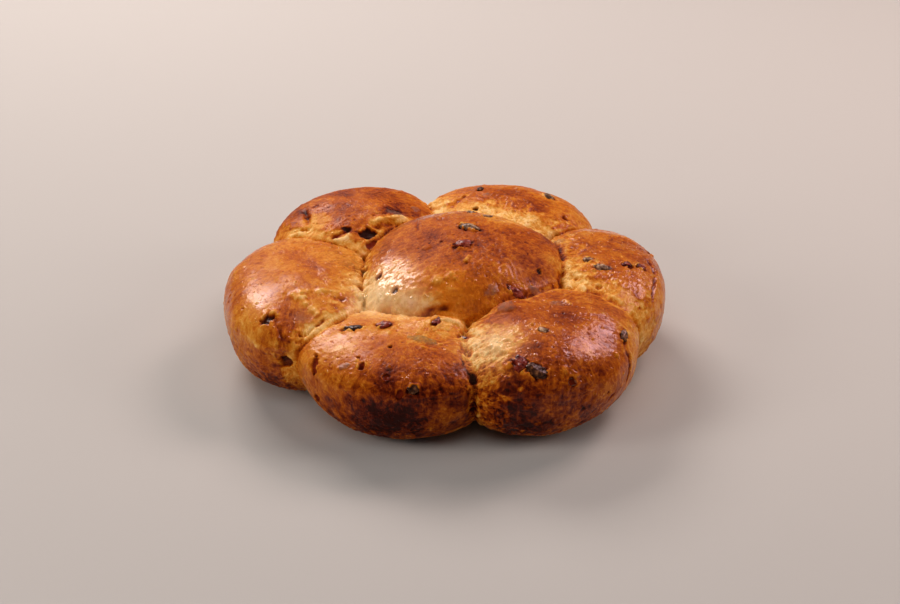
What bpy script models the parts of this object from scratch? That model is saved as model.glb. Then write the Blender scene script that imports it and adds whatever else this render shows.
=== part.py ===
"""A fruited brioche: six buns of dough baked in a ring round a seventh, so that they grew into one loaf.

Units are metres, +Z is up, and the loaf rests on the plane z = 0 with the middle of its box over the
origin. Seen from the front, the -Y side, two buns lie in front, one to each side and two behind.
"""

from collections import namedtuple

import bmesh
import bpy
import numpy as np
from mathutils import Matrix, Vector

MM = 0.001

# ---- driving dimensions --------------------------------------------------------------------------

CROWN_ROUNDNESS = 2.26  # exponent of a bun's upper half: 2 is an ellipsoid, more is a fuller shoulder
BELLY_ROUNDNESS = 2.37  # the same below the bun's widest level
BASE_SINK = 1.2 * MM  # how far each bun's round underside is pressed flat on the baking sheet
SWELL = 0.010  # uneven rising, as a share of a bun's radius
SWELL_WAVES = 5
SWELL_PITCH = 2.2  # how quickly they follow one another, in radians over a bun's radius

SEAM_SOFTNESS = 2.4 * MM  # how far the crust of one bun runs into the next before it follows its own round
TIGHT_SOFTNESS = 1.0 * MM  # the same at the front seam, which stayed open
TIGHT_SEAM = (14 * MM, -104 * MM)  # where that is
TIGHT_RADIUS = 30 * MM

GRID_ROUND = 32  # facets round a bun
GRID_ALONG = 20  # facets from one end of a bun to the other
FACET = 6.4 * MM  # size of the facets once the buns are one
SETTLING_STEPS = 6  # how often each of their corners is moved nearer to the crust
HALVINGS = 20  # steps in which a point of the crust is closed in on
SLOPE_STEP = 0.5 * MM  # the distance over which the crust's slope is measured

# A bun is named for where it lies. Its bearing is in degrees from +X towards +Y, `out` is the distance of
# its middle from the loaf's, and `turn` is how far its long side is turned from square to its bearing.
# Lengths are in millimetres: half its width across the ring, half its length along the ring, and its
# height above and below its widest level.
Bun = namedtuple("Bun", "name bearing out turn half_width half_length crown belly")
BUNS = (
    Bun("left", 189, 86, -4, 43, 64, 21, 38),
    Bun("front_left", 250, 81, 2, 44, 56, 15, 38),
    Bun("front_right", 307, 84, 11, 45, 59, 26, 34),
    Bun("right", 1, 81, -6, 41, 60, 23, 36),
    Bun("back_right", 67, 82, 2, 45, 53, 22, 35),
    Bun("back_left", 131, 85, 2, 45, 52, 24, 37),
    Bun("middle", 0, 7, 25, 56, 65, 37, 36),
)

# Hollows and bulges in the crust, each on the bun named, towards a bearing and a rise in degrees from the
# bun's middle. `spread` is the radius of the mark and `depth` how far it goes in, both in millimetres; a
# bulge has a depth below zero.
Mark = namedtuple("Mark", "bun bearing rise spread depth")
MARKS = (
    Mark("left", 279, 18, 12, 3.2),  # the fold above the front seam
    Mark("left", 262, 48, 11, -1.4),
    Mark("left", 265, -4, 8, 2.4),
    Mark("front_left", 31, 26, 10, -6.5),  # the lobe that laps over the middle bun
    Mark("front_left", 37, 52, 16, 2.1),
    Mark("front_left", 300, 20, 16, -1.2),
    Mark("front_right", 158, 52, 8, -3.6),
    Mark("front_right", 321, 28, 15, 2.6),  # the flat, glossy face
    Mark("front_right", 323, 5, 14, -2.0),
    Mark("right", 271, 31, 8, 3.0),  # the split beside the front seam
    Mark("right", 240, 20, 8, 2.2),
    Mark("back_left", 218, 31, 9, 2.4),  # torn crust
    Mark("back_left", 285, 28, 9, 3.2),
    Mark("back_left", 330, 55, 9, -1.4),
    Mark("back_right", 240, 50, 12, 1.8),
    Mark("middle", 262, 30, 14, -0.8),
    Mark("middle", 12, 24, 26, -5.0),  # the fuller right shoulder
    Mark("middle", 335, 20, 20, -2.0),
    Mark("middle", 220, 9, 28, -11.0),  # the stretched left flank
    Mark("middle", 213, 50, 25, 3.6),
    Mark("middle", 217, 30, 11, 2.6),
)

# Fruit baked into the crust; "skin" and "olive" are fruit that it still covers. Sizes are in millimetres,
# `turn` in degrees from level along the crust, and `proud` is the share of the thickness that stands out.
Fruit = namedtuple("Fruit", "kind bun bearing rise length width turn proud")
FRUITS = (
    Fruit("sultana", "middle", 69, 77, 12.0, 6.5, -38, 0.45),
    Fruit("cranberry", "middle", 268, 72, 9.0, 6.5, 5, 0.40),
    Fruit("sultana", "middle", 83, 43, 6.5, 4.0, -10, 0.30),
    Fruit("sultana", "middle", 64, 47, 6.0, 3.6, -15, 0.30),
    Fruit("raisin", "middle", 209, 24, 7.5, 3.2, 55, 0.15),
    Fruit("raisin", "middle", 227, 23, 5.5, 2.8, 55, 0.15),
    Fruit("raisin", "middle", 328, 29, 4.0, 3.0, -60, 0.20),
    Fruit("skin", "middle", 288, 29, 8.5, 6.0, 60, 0.40),
    Fruit("cranberry", "middle", 302, 25, 9.5, 4.5, -35, 0.40),
    Fruit("skin", "middle", 314, 23, 9.0, 5.0, -20, 0.40),
    Fruit("raisin", "left", 252, 16, 9.0, 6.0, 50, 0.15),
    Fruit("raisin", "left", 266, -4, 8.0, 6.0, 0, 0.10),
    Fruit("raisin", "front_left", 163, 27, 11.0, 5.5, 5, 0.30),
    Fruit("cranberry", "front_left", 130, 48, 9.0, 6.0, 25, 0.40),
    Fruit("olive", "front_left", 331, 47, 17.0, 7.5, -22, 0.30),
    Fruit("cranberry", "front_left", 42, 30, 8.0, 4.5, 75, 0.25),
    Fruit("cranberry", "front_left", 360, 21, 7.0, 5.0, -10, 0.35),
    Fruit("cranberry", "front_left", 202, 6, 9.5, 3.6, 85, 0.15),
    Fruit("skin", "front_left", 222, 14, 6.5, 4.5, 20, 0.30),
    Fruit("cranberry", "front_left", 236, 18, 4.5, 3.5, 70, 0.20),
    Fruit("skin", "front_left", 261, 21, 3.5, 3.0, 0, 0.50),
    Fruit("cranberry", "front_left", 260, 14, 4.0, 3.4, 0, 0.30),
    Fruit("raisin", "front_left", 281, 8, 6.0, 5.0, 30, 0.40),
    Fruit("cranberry", "front_left", 271, 5, 5.0, 3.0, 70, 0.20),
    Fruit("skin", "front_left", 191, -10, 6.0, 4.5, 80, 0.40),
    Fruit("cranberry", "front_left", 204, -16, 7.0, 3.0, 70, 0.20),
    Fruit("cranberry", "front_right", 250, 23, 9.5, 8.0, -60, 0.35),
    Fruit("raisin", "front_right", 261, 20, 11.0, 8.0, -20, 0.38),
    Fruit("raisin", "front_right", 354, 19, 9.0, 4.5, 80, 0.42),
    Fruit("sultana", "front_right", 262, 57, 5.5, 3.6, -15, 0.35),
    Fruit("skin", "front_right", 235, 63, 3.5, 3.0, 0, 0.50),
    Fruit("skin", "front_right", 165, 51, 11.0, 8.0, -25, 0.40),
    Fruit("skin", "front_right", 59, 62, 10.0, 5.0, -10, 0.30),
    Fruit("cranberry", "front_right", 286, 12, 4.0, 3.4, 0, 0.25),
    Fruit("sultana", "right", 235, 74, 5.5, 4.0, 10, 0.30),
    Fruit("sultana", "right", 284, 59, 9.0, 4.5, -5, 0.40),
    Fruit("cranberry", "right", 337, 47, 6.0, 4.5, -20, 0.40),
    Fruit("cranberry", "right", 348, 35, 6.0, 4.5, -20, 0.40),
    Fruit("skin", "right", 128, 33, 7.0, 5.0, 0, 0.40),
    Fruit("raisin", "right", 34, 16, 5.0, 3.0, 45, 0.30),
    Fruit("raisin", "back_right", 128, 41, 6.0, 4.0, 60, 0.35),
    Fruit("skin", "back_right", 141, 57, 5.0, 4.0, 0, 0.45),
    Fruit("sultana", "back_right", 22, 34, 8.0, 4.5, -30, 0.45),
    Fruit("raisin", "back_right", 202, 48, 4.5, 3.0, 0, 0.20),
    Fruit("skin", "back_left", 339, 42, 12.0, 6.0, 0, 0.25),
    Fruit("raisin", "back_left", 285, 32, 10.0, 7.0, 20, 0.20),
    Fruit("cranberry", "back_left", 284, 22, 8.0, 6.0, 20, 0.20),
    Fruit("raisin", "back_left", 259, 37, 5.0, 3.5, 0, 0.35),
    Fruit("skin", "back_left", 5, 28, 6.0, 5.0, 60, 0.40),
)
FRUIT_THICKNESS = 0.75  # as a share of the fruit's width
FRUIT_LUMPINESS = 0.12  # how far its corners lie off a plain pebble, as a share of its size
SMALL_FRUIT = 8.2  # millimetres: fruit no longer than this is made with fewer facets

# More fruit where the crust faces away from the front: evenly spread rises, and the rest from a random draw.
MORE_FRUIT_SEED = 11
MORE_FRUIT_PER_BUN = 8
MORE_FRUIT_RISES = (-12, 56)  # degrees
MORE_FRUIT_SPREAD = 75  # degrees to each side of the bun's own bearing
MORE_FRUIT_CLEAR = 20  # degrees kept clear round every other fruit
MORE_FRUIT_LENGTHS = (4.0, 9.5)
MORE_FRUIT_WIDTHS = (3.0, 5.5)
MORE_FRUIT_PROUD = (0.15, 0.45)
FRONT = (270, 29)  # the bearing and rise, in degrees, of the front
FACING_AWAY = -0.25  # the most that the crust may face the front there, from -1 to 1


# ---- shape of a bun ------------------------------------------------------------------------------


def middle_of(bun):
    """The point that a bun's surface is measured from: its middle at its widest level."""
    bearing = np.radians(bun.bearing)
    return np.array([bun.out * np.cos(bearing), bun.out * np.sin(bearing), bun.belly]) * MM


def axes_of(bun):
    """Unit vectors across the ring, along the ring and up, as the rows of a matrix."""
    across = np.radians(bun.bearing + bun.turn)
    return np.array([[np.cos(across), np.sin(across), 0], [-np.sin(across), np.cos(across), 0], [0, 0, 1]])


def half_sizes(bun, rising):
    """Half the bun's size along its three axes, the last the crown's height where the direction rises and
    the belly's where it falls."""
    height = np.where(rising, bun.crown * MM, bun.belly * MM + BASE_SINK)
    return bun.half_width * MM, bun.half_length * MM, height


def swell(bun, directions):
    """Uneven rising: a few low waves over the bun, from a random draw seeded by its name."""
    random = np.random.default_rng(sum(bun.name.encode()))
    total = np.zeros(len(directions))
    for _ in range(SWELL_WAVES):
        wave = random.normal(size=3) * SWELL_PITCH
        total += np.sin(directions @ wave + random.uniform(0, 2 * np.pi))
    return SWELL * total / np.sqrt(SWELL_WAVES)


def bearing_and_rise(bearing, rise):
    """A unit vector from a compass bearing and a rise, both in degrees."""
    bearing, rise = np.radians(bearing), np.radians(rise)
    return np.array([np.cos(rise) * np.cos(bearing), np.cos(rise) * np.sin(bearing), np.sin(rise)])


def reach_of(bun, directions):
    """Distance from the bun's middle to its crust along each direction."""
    local = directions @ axes_of(bun).T
    rising = local[:, 2] > 0
    width, length, height = half_sizes(bun, rising)
    power = np.where(rising, CROWN_ROUNDNESS, BELLY_ROUNDNESS)
    level = np.hypot(local[:, 0] / width, local[:, 1] / length)
    reach = (level**power + np.abs(local[:, 2] / height) ** power) ** (-1 / power)
    reach *= 1 + swell(bun, directions)
    for mark in MARKS:
        if mark.bun == bun.name:
            towards = bearing_and_rise(mark.bearing, mark.rise)
            apart = np.linalg.norm(directions - towards, axis=1) * reach
            reach -= mark.depth * MM * np.exp(-((apart / (mark.spread * MM)) ** 2))
    return reach


def above_crust(points):
    """How far each point lies outside the loaf: the least distance beyond a bun's crust, softened where
    two or more are about equal."""
    beyond = []
    for bun in BUNS:
        offset = points - middle_of(bun)
        distance = np.linalg.norm(offset, axis=1)
        beyond.append(distance - reach_of(bun, offset / distance[:, None]))
    beyond = np.array(beyond)
    nearest = beyond.min(axis=0)
    from_tight = np.hypot(points[:, 0] - TIGHT_SEAM[0], points[:, 1] - TIGHT_SEAM[1]) / TIGHT_RADIUS
    softness = SEAM_SOFTNESS + (TIGHT_SOFTNESS - SEAM_SOFTNESS) * np.exp(-(from_tight**2))
    return nearest - softness * np.log(np.exp((nearest - beyond) / softness).sum(axis=0))


def outward(points):
    """The direction in which `above_crust` grows fastest, and how fast it grows."""
    rise = [
        above_crust(points + SLOPE_STEP * way) - above_crust(points - SLOPE_STEP * way) for way in np.eye(3)
    ]
    slope = np.stack(rise, axis=1) / (2 * SLOPE_STEP)
    steepness = np.linalg.norm(slope, axis=1)
    return slope / steepness[:, None], steepness


def on_crust(bun, direction):
    """The first point of the loaf's crust in one direction from the bun's middle, and the normal there."""
    track = np.arange(4.0, 2.0 * bun.half_length, 1.0) * MM
    first = np.argmax(above_crust(middle_of(bun) + track[:, None] * direction) > 0)
    near, far = track[first - 1], track[first]
    for _ in range(HALVINGS):
        half_way = (near + far) / 2
        inside = above_crust((middle_of(bun) + half_way * direction)[None])[0] < 0
        near, far = (half_way, far) if inside else (near, half_way)
    place = middle_of(bun) + near * direction
    return place, outward(place[None])[0][0]


# ---- solids --------------------------------------------------------------------------------------


def new_object(name, vertices, faces, collection):
    mesh = bpy.data.meshes.new(name)
    mesh.from_pydata([tuple(v) for v in vertices], [], faces)
    made = bpy.data.objects.new(name, mesh)
    collection.objects.link(made)
    return made


def bun_solid(bun, collection):
    """A closed barrel of facets: rings round the bun's long axis, and a point at each end, which a
    neighbour hides."""
    round_angle = np.arange(GRID_ROUND) * 2 * np.pi / GRID_ROUND
    along_angle = np.arange(1, GRID_ALONG) * np.pi / GRID_ALONG
    along, around = np.meshgrid(along_angle, round_angle, indexing="ij")
    rising = np.sin(around) > 0
    width, length, height = half_sizes(bun, rising)
    across, upward = width * np.cos(around), height * np.sin(around)
    rings = np.stack([np.sin(along) * across, np.cos(along) * length, np.sin(along) * upward], axis=-1)
    rings = rings.reshape(-1, 3)
    local = np.vstack([rings, [[0, length, 0], [0, -length, 0]]])
    directions = local @ axes_of(bun)
    directions /= np.linalg.norm(directions, axis=1)[:, None]
    points = middle_of(bun) + directions * reach_of(bun, directions)[:, None]

    n, rows = GRID_ROUND, GRID_ALONG - 1
    first, last = rows * n, rows * n + 1
    faces = []
    for j in range(n):
        k = (j + 1) % n
        faces.append((first, k, j))
        faces.append((last, (rows - 1) * n + j, (rows - 1) * n + k))
        for i in range(rows - 1):
            faces.append((i * n + j, i * n + k, (i + 1) * n + k, (i + 1) * n + j))
    return new_object(bun.name, points, faces, collection)


def fruit_solid(number, fruit, collection):
    """A dried fruit as a lumpy pebble, its thickness square to the crust, sunk in all but its proud share."""
    bun = next(b for b in BUNS if b.name == fruit.bun)
    place, normal = on_crust(bun, bearing_and_rise(fruit.bearing, fruit.rise))
    side = np.array([1.0, 0, 0]) if abs(normal[0]) < 0.95 else np.array([0, 1.0, 0])
    level = side - (side @ normal) * normal
    level /= np.linalg.norm(level)
    turn = np.radians(fruit.turn)
    long_way = level * np.cos(turn) + np.cross(normal, level) * np.sin(turn)
    frame = Matrix.Identity(3)
    for column, vector in enumerate((long_way, np.cross(normal, long_way), normal)):
        frame.col[column] = Vector(vector)
    thickness = FRUIT_THICKNESS * fruit.width
    half = Vector((fruit.length / 2, fruit.width / 2, thickness / 2)) * MM
    sunk = Vector(place) + Vector(normal) * (fruit.proud - 0.5) * thickness * MM

    shape = bmesh.new()
    bmesh.ops.create_icosphere(shape, subdivisions=1 if fruit.length <= SMALL_FRUIT else 2, radius=1)
    random = np.random.default_rng(number)
    for vertex in shape.verts:
        lumpy = vertex.co * (1 + FRUIT_LUMPINESS * random.uniform(-1, 1))
        vertex.co = sunk + frame @ Vector(a * b for a, b in zip(lumpy, half))
    mesh = bpy.data.meshes.new(f"fruit_{number}")
    shape.to_mesh(mesh)
    shape.free()
    made = bpy.data.objects.new(mesh.name, mesh)
    collection.objects.link(made)
    return made


def more_fruits():
    """Fruit for the sides that face away from the front, kept clear of the other fruit."""
    random = np.random.default_rng(MORE_FRUIT_SEED)
    kinds = ("raisin", "cranberry", "sultana", "skin")
    clearance = np.cos(np.radians(MORE_FRUIT_CLEAR))
    added = []
    for bun in BUNS[:-1]:
        for rise in np.linspace(*MORE_FRUIT_RISES, MORE_FRUIT_PER_BUN):
            bearing = bun.bearing + random.uniform(-MORE_FRUIT_SPREAD, MORE_FRUIT_SPREAD)
            towards = bearing_and_rise(bearing, rise)
            length, width = random.uniform(*MORE_FRUIT_LENGTHS), random.uniform(*MORE_FRUIT_WIDTHS)
            turn, proud = random.uniform(-90, 90), random.uniform(*MORE_FRUIT_PROUD)
            kind = kinds[random.integers(len(kinds))]
            taken = [f for f in FRUITS + tuple(added) if f.bun == bun.name]
            clear = all(towards @ bearing_and_rise(f.bearing, f.rise) < clearance for f in taken)
            if clear and on_crust(bun, towards)[1] @ bearing_and_rise(*FRONT) < FACING_AWAY:
                added.append(Fruit(kind, bun.name, bearing, rise, length, width, turn, proud))
    return tuple(added)


def joined(body, collection, facet=None):
    """The body made one solid with everything in the collection, whose objects are then removed. A facet
    size, if given, lays the whole crust out afresh in even facets."""
    union = body.modifiers.new("union", "BOOLEAN")
    union.operation = "UNION"
    union.operand_type = "COLLECTION"
    union.collection = collection
    union.solver = "MANIFOLD"
    if facet:
        even = body.modifiers.new("even", "REMESH")
        even.mode = "VOXEL"
        even.voxel_size = facet
    graph = bpy.context.evaluated_depsgraph_get()
    mesh = bpy.data.meshes.new_from_object(body.evaluated_get(graph))
    for piece in list(collection.objects) + [body]:
        bpy.data.objects.remove(piece)
    bpy.data.collections.remove(collection)
    return mesh


def settle(mesh):
    """Moves every corner of the mesh onto the softly joined crust."""
    places = np.empty(len(mesh.vertices) * 3, np.float32)
    mesh.vertices.foreach_get("co", places)
    places = places.reshape(-1, 3).astype(np.float64)
    for _ in range(SETTLING_STEPS):
        way, steepness = outward(places)
        places -= way * (above_crust(places) / steepness)[:, None]
    mesh.vertices.foreach_set("co", places.astype(np.float32).ravel())


def pressed_flat(mesh):
    """Cuts off what would lie below the baking sheet and closes each bun's flat foot."""
    body = bmesh.new()
    body.from_mesh(mesh)
    everything = body.verts[:] + body.edges[:] + body.faces[:]
    bmesh.ops.bisect_plane(body, geom=everything, plane_co=(0, 0, 0), plane_no=(0, 0, -1), clear_outer=True)
    rim = [edge for edge in body.edges if edge.is_boundary]
    bmesh.ops.holes_fill(body, edges=rim, sides=0)
    bmesh.ops.triangulate(body, faces=body.faces[:])
    body.to_mesh(mesh)
    body.free()


def centred(mesh):
    """Moves the mesh so that the middle of its box stands over the origin."""
    places = np.empty(len(mesh.vertices) * 3, np.float32)
    mesh.vertices.foreach_get("co", places)
    places = places.reshape(-1, 3)
    middle = (places.min(axis=0) + places.max(axis=0)) / 2
    mesh.transform(Matrix.Translation((-middle[0], -middle[1], 0)))


def crust_material():
    crust = bpy.data.materials.new("egg_washed_crust")
    crust.use_nodes = True
    shader = crust.node_tree.nodes["Principled BSDF"]
    shader.inputs["Base Color"].default_value = (0.42, 0.15, 0.03, 1)
    shader.inputs["Roughness"].default_value = 0.38
    shader.inputs["Metallic"].default_value = 0.0
    return crust


def main():
    for old in list(bpy.data.objects):
        bpy.data.objects.remove(old)
    scene = bpy.context.scene.collection
    dough = bpy.data.collections.new("dough")
    scene.children.link(dough)
    for bun in BUNS[:-1]:
        bun_solid(bun, dough)
    mesh = joined(bun_solid(BUNS[-1], scene), dough, FACET)
    settle(mesh)

    plain = bpy.data.objects.new("plain_loaf", mesh)
    scene.objects.link(plain)
    topping = bpy.data.collections.new("topping")
    scene.children.link(topping)
    for number, fruit in enumerate(FRUITS + more_fruits()):
        fruit_solid(number, fruit, topping)
    mesh = joined(plain, topping)
    pressed_flat(mesh)
    centred(mesh)
    loaf = bpy.data.objects.new("brioche", mesh)
    scene.objects.link(loaf)
    mesh.materials.clear()
    mesh.materials.append(crust_material())
    mesh.shade_smooth()


main()
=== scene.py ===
"""A fruited brioche: the baked look of six buns and a middle one that grew into one loaf.

Shapes are worked out in millimetres, in the loaf's own frame before it is centred, and turned into metres
when a mesh is made. +Z is up, the loaf lies on z = 0, and its front is the -Y side. A bearing is in degrees
round +Z from +X and a rise in degrees above the level. A feature's are taken at the middle of its bun.
"""

from collections import namedtuple
from itertools import product
from types import SimpleNamespace

import bpy
import numpy as np
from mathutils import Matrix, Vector


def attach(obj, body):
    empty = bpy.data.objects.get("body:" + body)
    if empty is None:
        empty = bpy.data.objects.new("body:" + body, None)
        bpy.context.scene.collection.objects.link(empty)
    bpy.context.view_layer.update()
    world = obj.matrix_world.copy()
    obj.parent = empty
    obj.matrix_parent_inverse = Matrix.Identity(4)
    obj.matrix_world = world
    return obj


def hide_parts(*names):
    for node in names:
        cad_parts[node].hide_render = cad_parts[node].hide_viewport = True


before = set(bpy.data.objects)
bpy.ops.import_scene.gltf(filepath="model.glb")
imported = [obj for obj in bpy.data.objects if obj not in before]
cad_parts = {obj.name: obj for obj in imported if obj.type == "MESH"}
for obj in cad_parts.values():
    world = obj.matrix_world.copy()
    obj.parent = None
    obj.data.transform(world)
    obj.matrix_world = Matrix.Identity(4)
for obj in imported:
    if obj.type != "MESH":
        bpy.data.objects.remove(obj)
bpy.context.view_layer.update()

MM = 0.001
CENTRING = np.array([3.2, 0.0, 0.0])  # moves the middle of the loaf's box over the origin

# ---- the loaf's form: the same buns and marks as its solid, and its fruit ------------------------

CROWN_ROUNDNESS = 2.26  # the power of the rounded box above a bun's widest level
BELLY_ROUNDNESS = 2.37  # and below it
BASE_SINK = 1.2  # how far a bun's form goes on below the baking sheet, so that its foot is flat
SWELL = 0.010  # the share of its reach by which a bun rose unevenly
SWELL_WAVES = 5
SWELL_PITCH = 2.2  # about how many radians a wave turns by over one bun's reach
SEAM_SOFTNESS = 2.4  # how softly two buns run into each other
TIGHT_SOFTNESS = 1.0  # and how softly the two front ones do, round this place
TIGHT_SEAM = (14, -104)
TIGHT_RADIUS = 30

Bun = namedtuple("Bun", "name bearing out turn half_width half_length crown belly")
BUNS = (
    Bun("left", 189, 86, -4, 43, 64, 21, 38),
    Bun("front_left", 250, 81, 2, 44, 56, 15, 38),
    Bun("front_right", 307, 84, 11, 45, 59, 26, 34),
    Bun("right", 1, 81, -6, 41, 60, 23, 36),
    Bun("back_right", 67, 82, 2, 45, 53, 22, 35),
    Bun("back_left", 131, 85, 2, 45, 52, 24, 37),
    Bun("middle", 0, 7, 25, 56, 65, 37, 36),
)
BUN_NAMES = [bun.name for bun in BUNS]


def rows_of(kind, groups):
    """One row of this kind for each tuple of values, which are listed by the bun that they are on."""
    return tuple(kind(bun, *values) for bun, rows in groups.items() for values in rows)


# Hollows of the form, or bulges where the depth is below zero. `spread` and `depth` are in millimetres.
Mark = namedtuple("Mark", "bun bearing rise spread depth")
MARKS = rows_of(Mark, {
    "left": [(279, 18, 12, 3.2), (262, 48, 11, -1.4), (265, -4, 8, 2.4)],
    "front_left": [(31, 26, 10, -6.5), (37, 52, 16, 2.1), (300, 20, 16, -1.2)],
    "front_right": [(158, 52, 8, -3.6), (321, 28, 15, 2.6), (323, 5, 14, -2.0)],
    "right": [(271, 31, 8, 3.0), (240, 20, 8, 2.2)],
    "back_left": [(218, 31, 9, 2.4), (285, 28, 9, 3.2), (330, 55, 9, -1.4)],
    "back_right": [(240, 50, 12, 1.8)],
    "middle": [
        (262, 30, 14, -0.8), (12, 24, 26, -5.0), (335, 20, 20, -2.0), (220, 9, 28, -11.0),
        (213, 50, 25, 3.6), (217, 30, 11, 2.6),
    ],
})

# Fruit in or under the crust; "skin" and "olive" are fruit that the crust still covers. `length` and `width`
# are in millimetres, `turn` is in degrees from level, and `proud` is the share of it that stands out.
Fruit = namedtuple("Fruit", "bun kind bearing rise length width turn proud")
FRUITS = rows_of(Fruit, {
    "middle": [
        ("sultana", 69, 77, 12.0, 6.5, -38, 0.45), ("cranberry", 268, 72, 9.0, 6.5, 5, 0.40),
        ("sultana", 83, 43, 6.5, 4.0, -10, 0.30), ("sultana", 64, 47, 6.0, 3.6, -15, 0.30),
        ("raisin", 209, 24, 7.5, 3.2, 55, 0.15), ("raisin", 227, 23, 5.5, 2.8, 55, 0.15),
        ("raisin", 328, 29, 4.0, 3.0, -60, 0.20), ("skin", 288, 29, 8.5, 6.0, 60, 0.40),
        ("cranberry", 302, 25, 9.5, 4.5, -35, 0.40), ("skin", 314, 23, 9.0, 5.0, -20, 0.40),
    ],
    "left": [("raisin", 252, 16, 9.0, 6.0, 50, 0.15), ("raisin", 266, -4, 8.0, 6.0, 0, 0.10)],
    "front_left": [
        ("raisin", 163, 27, 11.0, 5.5, 5, 0.30), ("cranberry", 130, 48, 9.0, 6.0, 25, 0.40),
        ("olive", 331, 47, 17.0, 7.5, -22, 0.30), ("cranberry", 26, 37, 8.0, 4.5, 75, 0.25),
        ("cranberry", 360, 21, 7.0, 5.0, -10, 0.35), ("cranberry", 202, 6, 9.5, 3.6, 85, 0.15),
        ("skin", 222, 14, 6.5, 4.5, 20, 0.30), ("cranberry", 236, 18, 4.5, 3.5, 70, 0.20),
        ("skin", 261, 21, 3.5, 3.0, 0, 0.50), ("cranberry", 260, 14, 4.0, 3.4, 0, 0.30),
        ("raisin", 281, 8, 6.0, 5.0, 30, 0.40), ("cranberry", 271, 5, 5.0, 3.0, 70, 0.20),
        ("skin", 191, -10, 6.0, 4.5, 80, 0.40), ("cranberry", 204, -16, 7.0, 3.0, 70, 0.20),
    ],
    "front_right": [
        ("cranberry", 250, 23, 9.5, 8.0, -60, 0.35), ("raisin", 261, 20, 11.0, 8.0, -20, 0.38),
        ("raisin", 354, 19, 9.0, 4.5, 80, 0.42), ("sultana", 262, 57, 5.5, 3.6, -15, 0.35),
        ("skin", 235, 63, 3.5, 3.0, 0, 0.50), ("skin", 165, 51, 11.0, 8.0, -25, 0.40),
        ("skin", 59, 62, 10.0, 5.0, -10, 0.30), ("cranberry", 286, 12, 4.0, 3.4, 0, 0.25),
    ],
    "right": [
        ("sultana", 235, 74, 5.5, 4.0, 10, 0.30), ("sultana", 284, 59, 9.0, 4.5, -5, 0.40),
        ("cranberry", 337, 47, 6.0, 4.5, -20, 0.40), ("cranberry", 348, 35, 6.0, 4.5, -20, 0.40),
        ("skin", 128, 33, 7.0, 5.0, 0, 0.40), ("raisin", 34, 16, 5.0, 3.0, 45, 0.30),
    ],
    "back_right": [
        ("raisin", 128, 41, 6.0, 4.0, 60, 0.35), ("skin", 141, 57, 5.0, 4.0, 0, 0.45),
        ("sultana", 22, 34, 8.0, 4.5, -30, 0.45), ("raisin", 202, 48, 4.5, 3.0, 0, 0.20),
    ],
    "back_left": [
        ("skin", 339, 42, 12.0, 6.0, 0, 0.25), ("raisin", 285, 32, 10.0, 7.0, 20, 0.20),
        ("cranberry", 284, 22, 8.0, 6.0, 20, 0.20), ("raisin", 259, 37, 5.0, 3.5, 0, 0.35),
        ("skin", 5, 28, 6.0, 5.0, 60, 0.40),
    ],
})
FRUIT_THICKNESS = 0.75  # as a share of its width
MORE_FRUIT_SEED = 11
MORE_FRUIT_PER_BUN = 8

# ---- what only shows close up -------------------------------------------------------------------

# How two buns are joined: how far the pale, stretched crumb shows on each of them, how pale it is, up to 1,
# how lumpy, and how deep the line between them is cut below the soft join, which also sets how much darker
# that line is painted as shade. Lengths are in millimetres.
Seam = namedtuple("Seam", "one other on_one on_other pale lumpy cut")
SEAMS = (
    Seam("left", "middle", 6, 9, 0.52, 1.6, 3.0),
    Seam("left", "front_left", 8, 2, 0.75, 0.15, 1.8),
    Seam("front_left", "front_right", 3, 15, 0.95, 0.8, 3.2),
    Seam("front_left", "middle", 4, 3, 0.45, 0.2, 2.4),
    Seam("front_right", "middle", 4, 2, 0.55, 0.2, 2.4),
    Seam("front_right", "right", 3, 11, 0.75, 0.4, 1.4),
    Seam("right", "middle", 11, 2, 0.56, 0.8, 3.2),
    Seam("right", "back_right", 4, 4, 0.55, 0.4, 2.8),
    Seam("back_right", "middle", 16, 1, 0.75, 0.3, 1.4),
    Seam("back_right", "back_left", 10, 2, 0.80, 0.6, 1.8),
    Seam("back_left", "middle", 6, 2, 0.55, 0.2, 3.2),
    Seam("back_left", "left", 8, 2, 0.70, 0.2, 1.8),
)
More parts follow.
